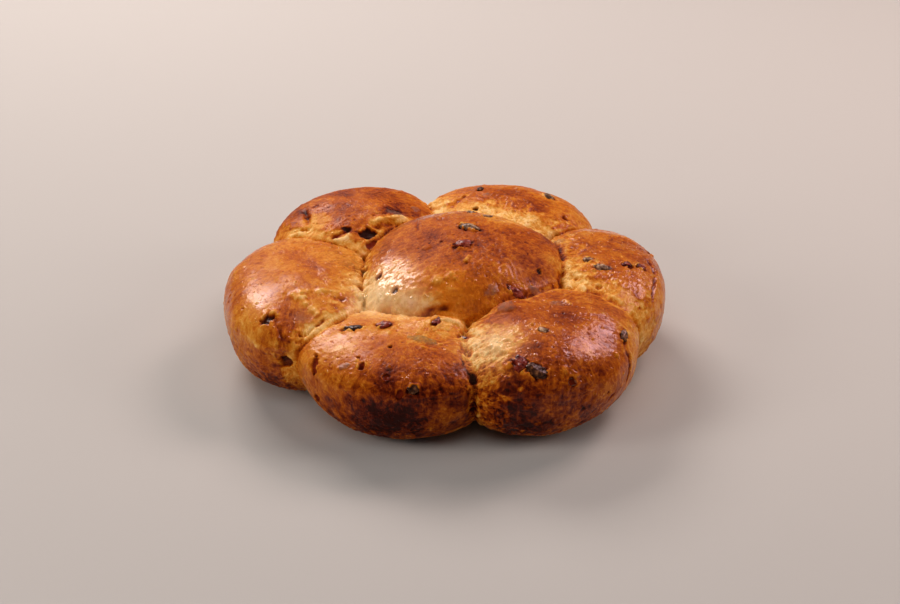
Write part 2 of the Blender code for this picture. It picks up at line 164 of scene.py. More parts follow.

# Folds, splits and raised threads of crust, and two lines of painted shade marked below. `turn` is in degrees
# from level, `bend` how far the middle is bowed up, `depth` how far it is cut in, or out if below zero, and
# `bake` how much darker it is.
Line = namedtuple("Line", "bun bearing rise turn length width depth bend bake")
LINES = rows_of(Line, {
    "left": [
        (275, 36, 28, 15, 1.9, -1.2, 0.5, -0.14), (306, 32, -2, 16, 1.9, -1.2, 2.0, -0.12),
        (307, 26, -21, 15, 2.0, 1.4, 1.5, 0.10), (277, 29, -39, 10, 1.7, -1.2, 0, -0.22),
        (285, 21, -58, 9, 1.7, -1.2, 0.5, -0.24), (278, 31, 55, 5, 1.4, -1.0, 0, -0.35),
        (261, 6, 79, 8, 0.9, -0.7, 0, -0.25), (260, -2, 89, 7, 0.9, -0.6, 0, -0.22),
        (277, 10, 50, 16, 1.0, 1.2, 0, 0.16), (289, 15, 49, 13, 1.1, 1.5, 0, 0.30),
        (235, 9, -61, 13, 0.8, -0.3, 0, -0.16), (246, 4, -35, 13, 0.8, -0.3, 0, -0.16),
        (262, 12, -70, 26, 1.2, 0.6, -1.0, 0.10), (49, 29, -48, 14, 0.9, 0.5, 1.0, 0.05),
    ],
    "front_left": [
        (140, 68, 69, 13, 1.4, -0.9, 0, -0.14), (54, 28, 58, 7, 1.3, -1.4, 0.5, -0.18),
        (46, 32, -42, 10, 1.3, -0.9, 0, -0.16), (340, 29, 36, 12, 0.8, -0.5, 0, -0.15),
        (316, 34, -10, 10, 1.2, -0.5, 0, -0.28), (230, 18, -88, 8, 0.9, -0.9, 0, -0.28),
        (271, 6, 79, 4, 1.0, 1.4, 0, 0.28), (273, 5, 67, 4, 0.9, -0.6, 0, -0.22),
        (244, 9, 71, 8, 0.7, -0.3, 0, -0.20), (334, 18, -87, 23, 0.9, 1.2, 0, 0.16),
        (320, 9, -79, 9, 0.9, 1.0, 0, 0.16), (316, 2, 81, 12, 0.9, 1.0, 0, 0.16),
        (25, 31, -3, 23, 1.6, -1.3, 1.0, -0.22),
    ],
    "front_right": [
        (200, 23, 87, 27, 0.8, 1.0, 0, 0.14), (47, 55, -50, 8, 1.1, -0.8, 0.5, -0.20),
        (340, 2, 82, 18, 0.9, 1.9, -1.0, 0.42), (344, 2, 82, 16, 0.9, -0.7, -1.0, -0.15),
        (318, -9, 21, 6, 0.8, 1.3, 0, 0.34), (219, 32, -81, 19, 2.0, -0.8, 0, -0.08),
        (342, 60, -15, 9, 0.8, -0.35, 0, -0.05), (25, 38, -27, 15, 0.8, 0.35, 1.0, 0.04),
    ],
    "right": [
        (2, 25, -76, 17, 0.9, 1.2, 1.0, 0.24), (329, 18, 78, 24, 0.9, 1.2, 1.0, 0.24),
        (256, 32, -73, 8, 1.0, -1.2, 0, -0.28), (285, 23, -27, 8, 1.0, -1.0, 0, -0.26),
        (34, 52, 29, 10, 0.8, 0.4, 0.5, 0.08),
    ],
    "back_right": [
        (310, 20, 20, 15, 1.5, 1.8, 0, 0.35), (171, 35, 50, 17, 1.2, 1.5, 0, 0.14),
        (151, 37, 56, 13, 1.2, -0.7, 0, -0.06), (339, 24, -51, 5, 1.0, 1.1, 0, 0.20),
    ],
    "back_left": [
        (178, 41, 43, 5, 1.0, 1.1, 0, 0.20), (197, 33, -78, 19, 1.6, 1.6, 1.0, 0.12),
        (215, 23, -7, 14, 1.0, 1.1, 2.5, 0.15), (213, 20, -7, 11, 2.4, -1.2, 1.5, -0.26),
        (256, 31, 33, 15, 1.6, 1.9, 0, 0.22), (259, 27, 33, 13, 3.2, -2.0, 0, -0.36),
        # The second row on this line is painted shade under the pale roll of the first.
        (319, 39, 18, 29, 2.8, -2.2, 3.0, -0.26), (313, 35, 16, 22, 1.8, 1.4, 2.5, 0.16),
    ],
    "middle": [
        # The first row on this line is a painted shadow: the dark-red groove behind the front-left bun's
        # curled edge.
        (255, 19, 14, 17, 1.7, 2.2, 1.2, 0.42), (256, 22, 12, 15, 1.3, -0.9, 1.2, -0.06),
        (254, 27, 16, 6, 1.2, -0.6, 0, -0.08), (262, 30, 8, 8, 1.1, -0.5, 0.5, -0.08),
        (294, 22, 33, 10, 1.0, -0.6, 0, -0.14), (146, 46, 89, 19, 1.0, 0.7, 0, 0.12),
    ],
})

# Small holes, and blisters where the depth is below zero. `radius` and `depth` are in millimetres.
Pit = namedtuple("Pit", "bun bearing rise radius depth")
PITS = rows_of(Pit, {
    "left": [(217, 37, 0.7, 0.8), (227, 16, 0.9, 0.7), (274, 10, 1.2, 0.8), (255, 20, 2.4, -1.4)],
    "front_left": [
        (262, 22, 1.4, -0.8), (236, 17, 1.7, 1.6), (225, 22, 1.0, 1.0), (195, 10, 1.2, 1.2),
        (251, 45, 1.3, 0.9),
    ],
    "front_right": [
        (286, 13, 1.8, 0.7), (89, 60, 1.0, -0.6), (235, 62, 1.2, -0.7), (294, -10, 1.5, 0.6),
        (243, 21, 2.6, -1.3), (281, 20, 2.2, -1.0), (289, 16, 2.0, -0.9), (331, 16, 2.0, -1.2),
        (314, -4, 1.2, 1.0),
    ],
    "right": [(300, 14, 0.9, 0.9), (271, 32, 2.2, 1.0)],
    "back_right": [(204, 47, 1.3, 0.8)],
    "middle": [
        (158, 21, 0.8, 0.6), (116, 52, 1.0, 0.8), (205, 69, 1.2, 0.7), (250, 35, 3.4, -1.0),
        (257, 37, 1.6, -1.0), (260, 40, 1.8, -1.1), (263, 37, 1.5, -0.9), (204, 56, 2.8, -0.8),
    ],
})

# Broader places: `bake` is how much darker the crust is there, or paler below zero. The crust is torn and
# pitted, or wrinkled, from 0 to 1.
Patch = namedtuple("Patch", "bun bearing rise spread bake torn wrinkled")
PATCHES = rows_of(Patch, {
    "back_right": [
        (266, 42, 20, -0.17, 0.7, 0.5), (222, 38, 17, -0.22, 0.5, 0.4), (303, 30, 14, -0.20, 0.6, 0),
        (100, 70, 22, 0.10, 0, 0), (41, 61, 20, -0.06, 0, 0), (165, 22, 13, -0.24, 0.4, 0),
    ],
    "back_left": [
        (216, 36, 9, -0.38, 0.2, 0.2), (223, 24, 11, -0.26, 0.3, 0.2), (318, 56, 16, -0.08, 0.3, 0.2),
        (336, 45, 8, 0.26, 0.7, 0), (330, 34, 6, -0.22, 0.2, 0),
    ],
    "middle": [
        # (217, 15) on this line is pale crumb, and partly a painted highlight.
        (345, 50, 30, 0.05, 0, 0.5), (217, 15, 16, -0.50, 0, 0.5), (214, 32, 15, -0.12, 0, 0.9),
        (238, 22, 13, -0.08, 0, 1.0), (222, 12, 8, -0.10, 0, 0.2), (234, 19, 7, -0.20, 0, 0.5),
        (243, 20, 7, -0.32, 0.1, 0.9), (251, 23, 5, -0.26, 0.1, 0.9), (262, 25, 15, -0.07, 0, 0.2),
        (278, 13, 10, 0.24, 0, 0.1), (289, 49, 24, 0.03, 0, 0.3), (251, 52, 17, 0.07, 0, 0.1),
        (186, 18, 10, 0.04, 0.5, 0.2),
    ],
    "front_left": [
        (150, 60, 36, -0.09, 0, 0), (10, 45, 14, -0.16, 0.4, 0.5), (215, 12, 26, -0.08, 0, 0.1),
        (173, 14, 8, -0.10, 0, 0), (27, 28, 7, -0.20, 0.2, 0.3), (316, 5, 5, -0.15, 0.3, 0),
        # The last row on this line and the row below darken the bun's low front: painted shade.
        (300, 12, 20, 0.13, 0.1, 0.4), (295, -12, 12, -0.22, 0.3, 0.2), (232, -26, 22, 0.30, 0.1, 0.3),
        (270, -17, 28, 0.40, 0.1, 0.3),
    ],
    "front_right": [
        (240, -4, 24, 0.28, 0.3, 0.3), (227, 15, 6, 0.09, 0.2, 0.2), (185, 23, 6, -0.22, 0.3, 0.2),
        (285, -12, 26, 0.13, 0.3, 0.4), (217, 29, 17, -0.55, 0.5, 0.5), (275, 33, 14, 0.05, 0, 0.1),
        # (246, -22) on this line darkens the bun's low front, partly as painted shade.
        (246, -22, 24, 0.16, 0.1, 0.2), (290, 10, 14, 0.02, 0.2, 0.8),
    ],
    "left": [
        (268, 15, 12, 0.15, 0, 0.5), (231, 10, 14, -0.09, 0, 0), (279, 12, 6, -0.34, 0, 0),
        # (257, -19) on this line darkens the skirt, partly as painted shade.
        (257, -19, 20, 0.30, 0.4, 0.5), (225, -20, 22, 0.04, 0.5, 0.5), (342, 25, 13, -0.16, 0.7, 0),
        (28, 26, 12, 0.04, 0.7, 0.2), (321, 21, 8, 0.40, 0.4, 0),
    ],
    "right": [
        (150, 28, 16, -0.26, 0.5, 0.2), (320, 12, 14, -0.08, 0.2, 0.2), (209, 50, 14, -0.06, 0.3, 0.2),
        (285, 4, 16, -0.22, 0.5, 0.2), (240, 35, 13, -0.14, 0.5, 0.2),
    ],
})

# How brown each bun's crust is, from 0, raw crumb, to 1, nearly burnt, and how glossy its egg wash is.
BROWNING = {
    "left": 0.53, "front_left": 0.57, "front_right": 0.64, "right": 0.56,
    "back_right": 0.58, "back_left": 0.66, "middle": 0.61,
}
GLOSS = {
    "left": 0.85, "front_left": 0.62, "front_right": 0.80, "right": 0.78,
    "back_right": 0.50, "back_left": 0.28, "middle": 0.86,
}
# Where the egg wash is thin, or thick above zero, and how far it fills the crust's unevenness, up to 1.
Wash = namedtuple("Wash", "bun bearing rise spread gloss even")
WASHES = rows_of(Wash, {
    "middle": [
        (350, 42, 28, -0.70, 0), (326, 34, 14, -0.50, 0), (187, 61, 16, -0.70, 0), (158, 45, 16, -0.70, 0),
        (130, 78, 18, -0.60, 0), (240, 64, 14, -0.60, 0), (192, 44, 9, -0.60, 0), (226, 52, 12, -0.65, 0),
        (251, 50, 15, -0.85, 0), (215, 14, 16, 0.45, 0), (212, 30, 18, 0, 0.2),
    ],
    "front_left": [
        (265, 47, 18, -0.45, 0), (130, 28, 12, -0.60, 0), (290, 38, 13, -0.35, 0), (235, 32, 20, 0, 0.5),
    ],
    "front_right": [(184, 42, 15, -0.80, 0), (330, 32, 20, 0, 0.5)],
    "left": [
        (40, 40, 30, -0.30, 0), (130, 42, 22, -0.60, 0), (215, 62, 16, -0.50, 0), (279, 20, 14, -0.60, 0),
        (236, 34, 24, 0, 0.8),
    ],
})

# Colours laid over the crust. Some are painted light, marked below; the others tint the crust darker red or
# more golden. A later one lies over an earlier one.
Tint = namedtuple("Tint", "bun bearing rise spread code amount")
TINTS_AND_PAINTED_LIGHT = (
    # Painted light: the middle bun's low front is painted a brighter, glowing orange.
    Tint("middle", 262, 25, 18, "D27008", 0.50),
    Tint("middle", 287, 17, 13, "9A360A", 0.35),
    # Painted highlight on the front-right bun's pale left slope.
    Tint("front_right", 217, 30, 14, "FFD8B0", 0.30),
    # This row and the next two are a painted highlight on the middle bun's lower left.
    Tint("middle", 216, 28, 13, "F4B898", 0.35),
    Tint("middle", 222, 15, 11, "FFE0B0", 0.50),
    Tint("middle", 240, 20, 9, "F4B898", 0.30),
    Tint("middle", 227, 13, 5, "C87818", 0.55),
    # Darker brown with a painted lavender sheen, in the left bun's fold.
    Tint("left", 276, 18, 6, "8A5C48", 0.45),
    Tint("left", 33, 26, 14, "E0A040", 0.35),
)


# ---- patterns ------------------------------------------------------------------------------------

SLOPES = np.array([way for way in product((-1, 0, 1), repeat=3) if sum(map(abs, way)) == 2], float)
NOISE_GAIN = 1.1  # brings gradient noise near to 1 at its highest
RIDGE_SHARPNESS = 2.4
TEN_BITS = 1023
OWN_BITS = 24


def hashed(cells, seed):
    """A whole number for each lattice cell: its three indices mixed by multiplying and shifting."""
    x, y, z = np.moveaxis(cells.astype(np.int64).astype(np.uint32), -1, 0)
    mixed = x * np.uint32(374761393) + y * np.uint32(668265263) + z * np.uint32(2246822519)
    mixed += np.uint32(seed * 40503 + 12345)
    mixed = (mixed ^ (mixed >> np.uint32(13))) * np.uint32(1274126177)
    mixed = (mixed ^ (mixed >> np.uint32(16))) * np.uint32(2654435761)
    return mixed ^ (mixed >> np.uint32(15))


def noise(points, seed):
    """Gradient noise from about -1 to 1: each lattice corner has a slope picked by its number, and the
    eight slopes round a point are blended by 6t^5 - 15t^4 + 10t^3 along each axis."""
    base = np.floor(points)
    part = points - base
    blend = part**3 * (part * (part * 6 - 15) + 10)
    total = np.zeros(len(points))
    for corner in product((0, 1), repeat=3):
        slope = SLOPES[hashed(base + corner, seed) % len(SLOPES)]
        weight = np.prod(np.where(corner, blend, 1 - blend), axis=1)
        total += weight * np.einsum("ij,ij->i", slope, part - corner)
    return total * NOISE_GAIN


def cloud(points, seed, octaves=2):
    """Noise of halving size and weight, added up."""
    return sum(noise(points * 2**i, seed + i) * 0.5**i for i in range(octaves))


def bend(points, seed):
    """Three noises, to push points about by."""
    return np.stack([noise(points, seed + i) for i in range(3)], axis=1)


def ridges(points, seed):
    """Noise folded at zero: 1 on sharp winding lines, falling to 0 between them."""
    return np.clip(1 - RIDGE_SHARPNESS * np.abs(noise(points, seed)), 0, 1)


def threads(points, finer, seed):
    """Ridges over finer ridges, six parts to four."""
    return ridges(points, seed) * 0.6 + ridges(finer, seed + 1) * 0.4


def spots(points, seed):
    """Distance to the nearest of one random point per lattice cell, and that point's own number from 0 to
    1. The nearest of the eight cells round a point are searched."""
    base = np.floor(points - 0.5)
    best = np.full(len(points), np.inf)
    own = np.zeros(len(points))
    for corner in product((0, 1), repeat=3):
        cell = base + corner
        number = hashed(cell, seed)
        bits = np.stack([(number >> np.uint32(shift)) & TEN_BITS for shift in (0, 10, 20)])
        place = cell + 0.25 + 0.5 * bits.T / TEN_BITS
        away = np.linalg.norm(points - place, axis=1)
        nearer = away < best
        best = np.where(nearer, away, best)
        own = np.where(nearer, ((number * np.uint32(747796405)) >> np.uint32(8)) / 2**OWN_BITS, own)
    return best, own


def cones(points, seed, radius, more, rare=0):
    """A cone on each spot whose own number is at least `rare`: 1 at its tip and 0 at its radius, to which
    that number adds its share of `more`. Both are shares of the lattice cell."""
    away, own = spots(points, seed)
    return np.where(own >= rare, np.clip(1 - away / (radius + more * own), 0, 1), 0)


def step_up(low, high, value):
    """0 below low, 1 above high and 3t^2 - 2t^3 between them; with low above high it falls instead."""
    share = np.clip((value - low) / (high - low), 0, 1)
    return share * share * (3 - 2 * share)


def bell(value):
    """exp(-t^2): 1 at zero, about a third at 1, and next to nothing beyond 2."""
    return np.exp(-(value**2))


# ---- form of the buns ----------------------------------------------------------------------------

TOUCHING = 105  # the middles of two outer buns that touch are closer than this
INNERMOST = 4.0  # the crust is looked for from here on, along each direction
OUTERMOST = 1.25  # to this share of the bun's longer half size
HALVINGS = 17
BEHIND_WALL = 1.6  # how far a bun's skin runs on behind its neighbour's
DIVE = 0.5  # how fast it sinks there
PROBE = 0.4  # the step over which the crust's slope is measured


def middle_of(bun):
    """A bun's middle: its bearing and distance from the loaf's axis, at the height of its belly."""
    bearing = np.radians(bun.bearing)
    return np.array([bun.out * np.cos(bearing), bun.out * np.sin(bearing), bun.belly])


def axes_of(bun):
    """Unit vectors across the ring, along the ring and up, as the rows of a matrix."""
    across = np.radians(bun.bearing + bun.turn)
    return np.array([[np.cos(across), np.sin(across), 0], [-np.sin(across), np.cos(across), 0], [0, 0, 1]])


def towards(bearing, rise):
    """The unit vector of a bearing and a rise in degrees."""
    bearing, rise = np.radians(bearing), np.radians(rise)
    return np.array([np.cos(rise) * np.cos(bearing), np.cos(rise) * np.sin(bearing), np.sin(rise)])


def reach_of(bun, directions):
    """Distance from the bun's middle to its crust along each direction: a rounded box's radius, with low
    waves for its uneven rise and a bell-shaped hollow or bulge for each mark."""
    local = directions @ axes_of(bun).T
    rising = local[:, 2] > 0
    height = np.where(rising, bun.crown, bun.belly + BASE_SINK)
    power = np.where(rising, CROWN_ROUNDNESS, BELLY_ROUNDNESS)
    level = np.hypot(local[:, 0] / bun.half_width, local[:, 1] / bun.half_length)
    reach = (level**power + np.abs(local[:, 2] / height) ** power) ** (-1 / power)
    random = np.random.default_rng(sum(bun.name.encode()))
    swell = np.zeros(len(directions))
    for _ in range(SWELL_WAVES):
        wave = random.normal(size=3) * SWELL_PITCH
        swell += np.sin(directions @ wave + random.uniform(0, 2 * np.pi))
    reach *= 1 + SWELL * swell / np.sqrt(SWELL_WAVES)
    for mark in MARKS:
        if mark.bun == bun.name:
            apart = np.linalg.norm(directions - towards(mark.bearing, mark.rise), axis=1) * reach
            reach -= mark.depth * bell(apart / mark.spread)
    return reach


def beyond(points, buns=BUNS):
    """How far each point lies beyond each bun's crust, one row for each bun."""
    rows = []
    for bun in buns:
        offset = points - middle_of(bun)
        distance = np.linalg.norm(offset, axis=1)
        rows.append(distance - reach_of(bun, offset / distance[:, None]))
    return np.array(rows)


def above_crust(points, rows):
    """The least distance beyond a bun's crust, softened where two or more are about equal."""
    nearest = rows.min(axis=0)
    from_tight = np.hypot(points[:, 0] - TIGHT_SEAM[0], points[:, 1] - TIGHT_SEAM[1]) / TIGHT_RADIUS
    softness = SEAM_SOFTNESS + (TIGHT_SOFTNESS - SEAM_SOFTNESS) * bell(from_tight)
    return nearest - softness * np.log(np.exp((nearest - rows) / softness).sum(axis=0))


def neighbours(bun):
    """The bun itself first, then those that touch it. The middle one touches all the others."""
    others = [other for other in BUNS if other is not bun]
    if bun.name != "middle":
        others = [other for other in others if np.linalg.norm(middle_of(other) - middle_of(bun)) < TOUCHING]
    return (bun, *others)


def crust_of(bun, directions):
    """The point of the loaf's crust along each direction from the bun's middle. Where a neighbour would be
    met first, the skin dives along the wall between them instead, so that each bun's skin is closed. The
    distance is found by halving an interval."""
    buns = neighbours(bun)
    near = np.full(len(directions), INNERMOST)
    far = np.full(len(directions), OUTERMOST * max(bun.half_length, bun.half_width))
    for _ in range(HALVINGS):
        half_way = (near + far) / 2
        points = middle_of(bun) + half_way[:, None] * directions
        rows = beyond(points, buns)
        past = rows[0] - rows[1:].min(axis=0)
        outside = np.maximum(above_crust(points, rows) + DIVE * np.maximum(past, 0), past - BEHIND_WALL) > 0
        near, far = np.where(outside, near, half_way), np.where(outside, half_way, far)
    return middle_of(bun) + near[:, None] * directions


def outward(points, buns=BUNS):
    """The direction in which `above_crust` grows fastest, from its rise over a short step along each axis."""
    here = above_crust(points, beyond(points, buns))
    slope = np.stack([
        above_crust(points + PROBE * way, beyond(points + PROBE * way, buns)) - here for way in np.eye(3)
    ], axis=1)
    return slope / np.linalg.norm(slope, axis=1)[:, None]


# ---- where the features sit ----------------------------------------------------------------------

ANCHOR_HALVINGS = 10
FRONT_BEARING, FRONT_RISE = 270, 29
FRONT_VIEW = towards(FRONT_BEARING, FRONT_RISE)  # from the loaf to the camera
FACES_AWAY = -0.25  # the crust faces away from the front where its normal along FRONT_VIEW is below this
CLEARANCE = np.cos(np.radians(20))
MORE_RISES = (-12, 56)
MORE_BEARINGS = 75  # to either side of straight out
MORE_LENGTHS, MORE_WIDTHS, MORE_PROUD = (4.0, 9.5), (3.0, 5.5), (0.15, 0.45)
MORE_KINDS = ("raisin", "cranberry", "sultana", "skin")

Anchor = namedtuple("Anchor", "place along across normal")


def anchor_of(feature):
    """Where a feature sits on the crust and its own three directions: its length, which is turned from the
    level as its row says, its width, and the crust's outward normal. The crust is found by steps of a
    millimetre from the bun's middle, and then by halving the last step."""
    bun = next(bun for bun in BUNS if bun.name == feature.bun)
    way = towards(feature.bearing, feature.rise)
    track = np.arange(INNERMOST, 2.0 * bun.half_length, 1.0)
    points = middle_of(bun) + track[:, None] * way
    first = np.argmax(above_crust(points, beyond(points)) > 0)
    near, far = track[first - 1], track[first]
    for _ in range(ANCHOR_HALVINGS):
        half_way = (near + far) / 2
        point = (middle_of(bun) + half_way * way)[None]
        near, far = (near, half_way) if above_crust(point, beyond(point))[0] > 0 else (half_way, far)
    place = middle_of(bun) + near * way
    normal = outward(place[None])[0]
    side = np.array([1.0, 0, 0]) if abs(normal[0]) < 0.95 else np.array([0, 1.0, 0])
    level = side - (side @ normal) * normal
    level /= np.linalg.norm(level)
    turn = np.radians(getattr(feature, "turn", 0))
    along = level * np.cos(turn) + np.cross(normal, level) * np.sin(turn)
    return Anchor(place, along, np.cross(normal, along), normal)


def placed(features):
    """Each feature with its anchor."""
    return [(feature, anchor_of(feature)) for feature in features]


def more_fruits():
    """Fruit for the sides that face away from the front: evenly spread rises, and the rest from a random
    draw, kept clear of the other fruit."""
    random = np.random.default_rng(MORE_FRUIT_SEED)
    added = []
    for bun in BUNS[:-1]:
        for rise in np.linspace(*MORE_RISES, MORE_FRUIT_PER_BUN):
            bearing = bun.bearing + random.uniform(-MORE_BEARINGS, MORE_BEARINGS)
            way = towards(bearing, rise)
            length, width = random.uniform(*MORE_LENGTHS), random.uniform(*MORE_WIDTHS)
            turn, proud = random.uniform(-90, 90), random.uniform(*MORE_PROUD)
            kind = MORE_KINDS[random.integers(len(MORE_KINDS))]
            taken = [f for f in FRUITS + tuple(added) if f.bun == bun.name]
            clear = all(way @ towards(f.bearing, f.rise) < CLEARANCE for f in taken)
            one = Fruit(bun.name, kind, bearing, rise, length, width, turn, proud)
            if clear and anchor_of(one).normal @ FRONT_VIEW < FACES_AWAY:
                added.append(one)
    return tuple(added)


PLACED_FRUIT = placed(FRUITS + more_fruits())
PLACED_LINES = placed(LINES)
PLACED_PATCHES = placed(PATCHES)
PLACED_PITS = placed(PITS)
PLACED_WASHES = placed(WASHES)
PLACED_TINTS_AND_PAINTED_LIGHT = placed(TINTS_AND_PAINTED_LIGHT)


# ---- relief and browning of the crust ------------------------------------------------------------
#
# In these functions points divided by a length give a pattern of about that size, in millimetres, and the
# whole number after the points is the pattern's own seed. Relief is in millimetres too, and browning, gloss
# and the rest are shares from 0 to 1.


def linear(code):
    """Linear red, green and blue from an sRGB hex code such as 'C07830'."""
    values = np.array([int(code[i : i + 2], 16) for i in (0, 2, 4)]) / 255
    return np.where(values <= 0.04045, values / 12.92, ((values + 0.055) / 1.055) ** 2.4)


SHARED = 1.5  # how fast a point beyond one bun's crust stops belonging to it
VEILS = {"skin": linear("7E5448"), "olive": linear("7A5E34")}  # fruit seen through the crust; the skin's mauve is partly a painted lavender sheen
DEEP = 0.21  # fruit less proud than this, or shorter than SMALL, only shows as colour in its pocket
SMALL = 5.1
DEEP_COLOURS = {"raisin": linear("2C120A"), "cranberry": linear("7E260E"), "sultana": linear("3E2E1A")}
DEEPEST_STAIN = 0.9  # the most that such a fruit's colour covers
SPLIT_AND_SHADOW_RED = linear("6E1206")  # the red of fruit juice in a split, also used as painted shadow in one groove
SPLIT_AND_SHADOW_BAKE = 0.18  # a line darker than this is stained red: the splits, and the painted-shadow groove


def is_hidden(fruit):
    """Whether a fruit lies so deep or is so small that only its colour shows."""
    return fruit.proud < DEEP or fruit.length < SMALL


def nearness(points, feature, anchor):
    """1 at the feature's place, falling as a bell over its spread."""
    return bell(np.linalg.norm(points - anchor.place, axis=1) / feature.spread)


def shares(rows):
    """How much each point belongs to each bun: one at a bun's middle, and shared near a seam."""
    weight = np.exp((rows.min(axis=0) - rows) / SHARED)
    return weight / weight.sum(axis=0)


def stain(coat, where, colour, amount):
    """Lays a colour over part of the crust, as strongly as its amount says; it carries stains and painted
    light alike.
    """
    amount = np.clip(amount, 0, 1)
    after = amount + coat.stained[where] * (1 - amount)
    coat.stain[where] += (amount / np.maximum(after, 1e-6))[:, None] * (colour - coat.stain[where])
    coat.stained[where] = after


PATCH_RAG = 4  # the size of the notches in a torn patch's edge


def bake_patches(coat, points):
    """The named broad patches: soft-edged where only the browning differs, and ragged where torn."""
    ragged = 0.3 * cloud(points / PATCH_RAG, 15)
    for patch, anchor in PLACED_PATCHES:
        soft = nearness(points, patch, anchor)
        crisp = step_up(0.25, 0.6, soft + ragged)
        weight = soft * (1 + ragged) * (1 - patch.torn) + crisp * patch.torn
        coat.brown += patch.bake * weight
        coat.torn += patch.torn * weight
        coat.wrinkled += patch.wrinkled * soft


SEAM_STEP = 0.5  # the step over which the slope of a seam's wall is measured
SEAM_END = 1.2  # how soon a seam ends where a third bun is nearer
SEAM_RAG = 6  # the notches in its edge
STRAND, FINE_STRAND = 3.4, 1.7
STRAND_WANDER = 2.2
CRUMB_LUMP = 5
BRIDGE = 11  # how long a stretch of it is bridged by crumb, or open
OPEN_WIDTH = 1.7


def bake_seams(coat, points, rows):
    """The crumb stretched from bun to bun: pale and ragged, in strands that run across the line between
    the two, which is cut in, and painted darker as shade, where no strand bridges it. A point's offset from
    that line is the difference of its distances beyond the two crusts, and its place on the wall between them
    is found by the slope."""
    nearest = rows.min(axis=0)
    slopes = np.stack([beyond(points + SEAM_STEP * way) - rows for way in np.eye(3)], axis=2) / SEAM_STEP
    for number, seam in enumerate(SEAMS):
        a, b = BUN_NAMES.index(seam.one), BUN_NAMES.index(seam.other)
        offset = rows[b] - rows[a]
        present = np.exp(-np.maximum(np.minimum(rows[a], rows[b]) - nearest, 0) / SEAM_END)
        width = np.where(offset > 0, seam.on_one, seam.on_other)
        close = (np.abs(offset) < 2.5 * width + 8) & (present > 0.02)
        if not close.any():
            continue
        here, offset, present, width = points[close], offset[close], present[close], width[close]
        slope = slopes[b, close] - slopes[a, close]
        wall = here - slope * (offset / np.maximum((slope**2).sum(axis=1), 0.2))[:, None]
        strand = wall + STRAND_WANDER * bend(here / 6, 30)
        strands = threads(strand / STRAND + here / 8, strand / FINE_STRAND + here / 5, 40)
        lumps = cloud(strand / CRUMB_LUMP + here / 9, 44)
        ragged = np.abs(offset) / width * (1 + 0.6 * cloud(here / SEAM_RAG, 20 + number))
        pale = seam.pale * (0.65 * step_up(1.25, 0.85, ragged) + 0.35 * step_up(1.0, 0.1, ragged)) * present
        brink = bell((ragged - 1.25) / 0.22) * present * (width > 5)
        band = bell(offset / (0.9 * width + 2)) * present
        bridged = np.clip(0.6 + 0.7 * cloud(wall / BRIDGE, 60 + number, 3), 0.25, 1)
        astray = offset + (0.6 + seam.lumpy) * noise(here / 5.5, 62)
        line = bell(astray / OPEN_WIDTH) * present * bridged
        coat.brown[close] -= 0.44 * pale * (1.0 + (0.35 * lumps - 0.35 * strands) * (0.3 + seam.lumpy))
        coat.torn[close] += 0.6 * pale * seam.lumpy
        coat.gloss[close] -= 0.5 * pale
        coat.relief[close] += seam.lumpy * band * (0.8 * lumps - 0.5 * strands**2 + 0.1) - seam.cut * line
        coat.relief[close] += 0.35 * brink - 0.45 * pale
        # The open line is painted darker by its depth of cut: painted shade in the crease.
        coat.brown[close] += 0.12 * line * seam.cut + 0.10 * brink
        coat.mottled[close] += 0.5 * pale


LUMP, DIMPLE, PIMPLE = 21, 8.5, 3
LUMP_HEIGHT, DIMPLE_HEIGHT, PIMPLE_HEIGHT = 0.7, 0.26, 0.11
BROWN_CLOUD, BROWN_FLECK, GLOSS_CLOUD = 19, 5, 9


def bake_wash(coat, points, rising):
    """The egg wash, thick or thin and clouded, and the low lumps and brown clouds of the whole crust."""
    for wash, anchor in PLACED_WASHES:
        near = nearness(points, wash, anchor)
        coat.gloss += wash.gloss * near
        coat.uneven -= wash.even * near
    bumps = LUMP_HEIGHT * noise(points / LUMP, 1) + DIMPLE_HEIGHT * noise(points / DIMPLE, 3)
    coat.relief += (bumps + PIMPLE_HEIGHT * cloud(points / PIMPLE, 5)) * coat.uneven
    clouds = 0.11 * cloud(points / BROWN_CLOUD, 7) + 0.06 * cloud(points / BROWN_FLECK, 9)
    coat.brown += 0.04 * rising + clouds
    coat.gloss += 0.25 * cloud(points / GLOSS_CLOUD, 12)


TINT_CLOUD = 4


def bake_tints_and_painted_light(coat, points):
    """The named tints and painted light, each clouded and fading out as a bell."""
    everywhere = np.arange(len(points))
    for tint, anchor in PLACED_TINTS_AND_PAINTED_LIGHT:
        amount = tint.amount * nearness(points, tint, anchor) * (1 + 0.5 * cloud(points / TINT_CLOUD, 112))
        stain(coat, everywhere, linear(tint.code), amount)


STREAK_FINENESS = 11  # a streak is about one part in this of the bun's radius wide
STREAK_LENGTH = 13
STREAK_HEIGHT = 0.12
BUN_SHIFT = 10  # moves each bun's streaks away from those of the one before


def bake_streaks(coat, points, part):
    """Fine pale streaks that run down each bun's sides, from its rise: ridges that are narrow round the bun
    and long from its top to its foot."""
    owner = part.argmax(axis=0)
    away = points - np.array([middle_of(bun) for bun in BUNS])[owner]
    level = np.hypot(away[:, 0], away[:, 1])[:, None]
    down = away[:, 2:] / STREAK_LENGTH + BUN_SHIFT * owner[:, None]
    flow = np.hstack([away[:, :2] / level * STREAK_FINENESS, down]) + 0.7 * bend(points / 9, 22)
    side = step_up(0.35, 0.8, level[:, 0] / np.linalg.norm(away, axis=1))
    side *= step_up(0.6, 0.95, part.max(axis=0))
    streak = threads(flow, flow * 2.1, 20) - 0.4
    coat.relief += STREAK_HEIGHT * side * streak * coat.uneven
    coat.brown -= 0.10 * side * streak


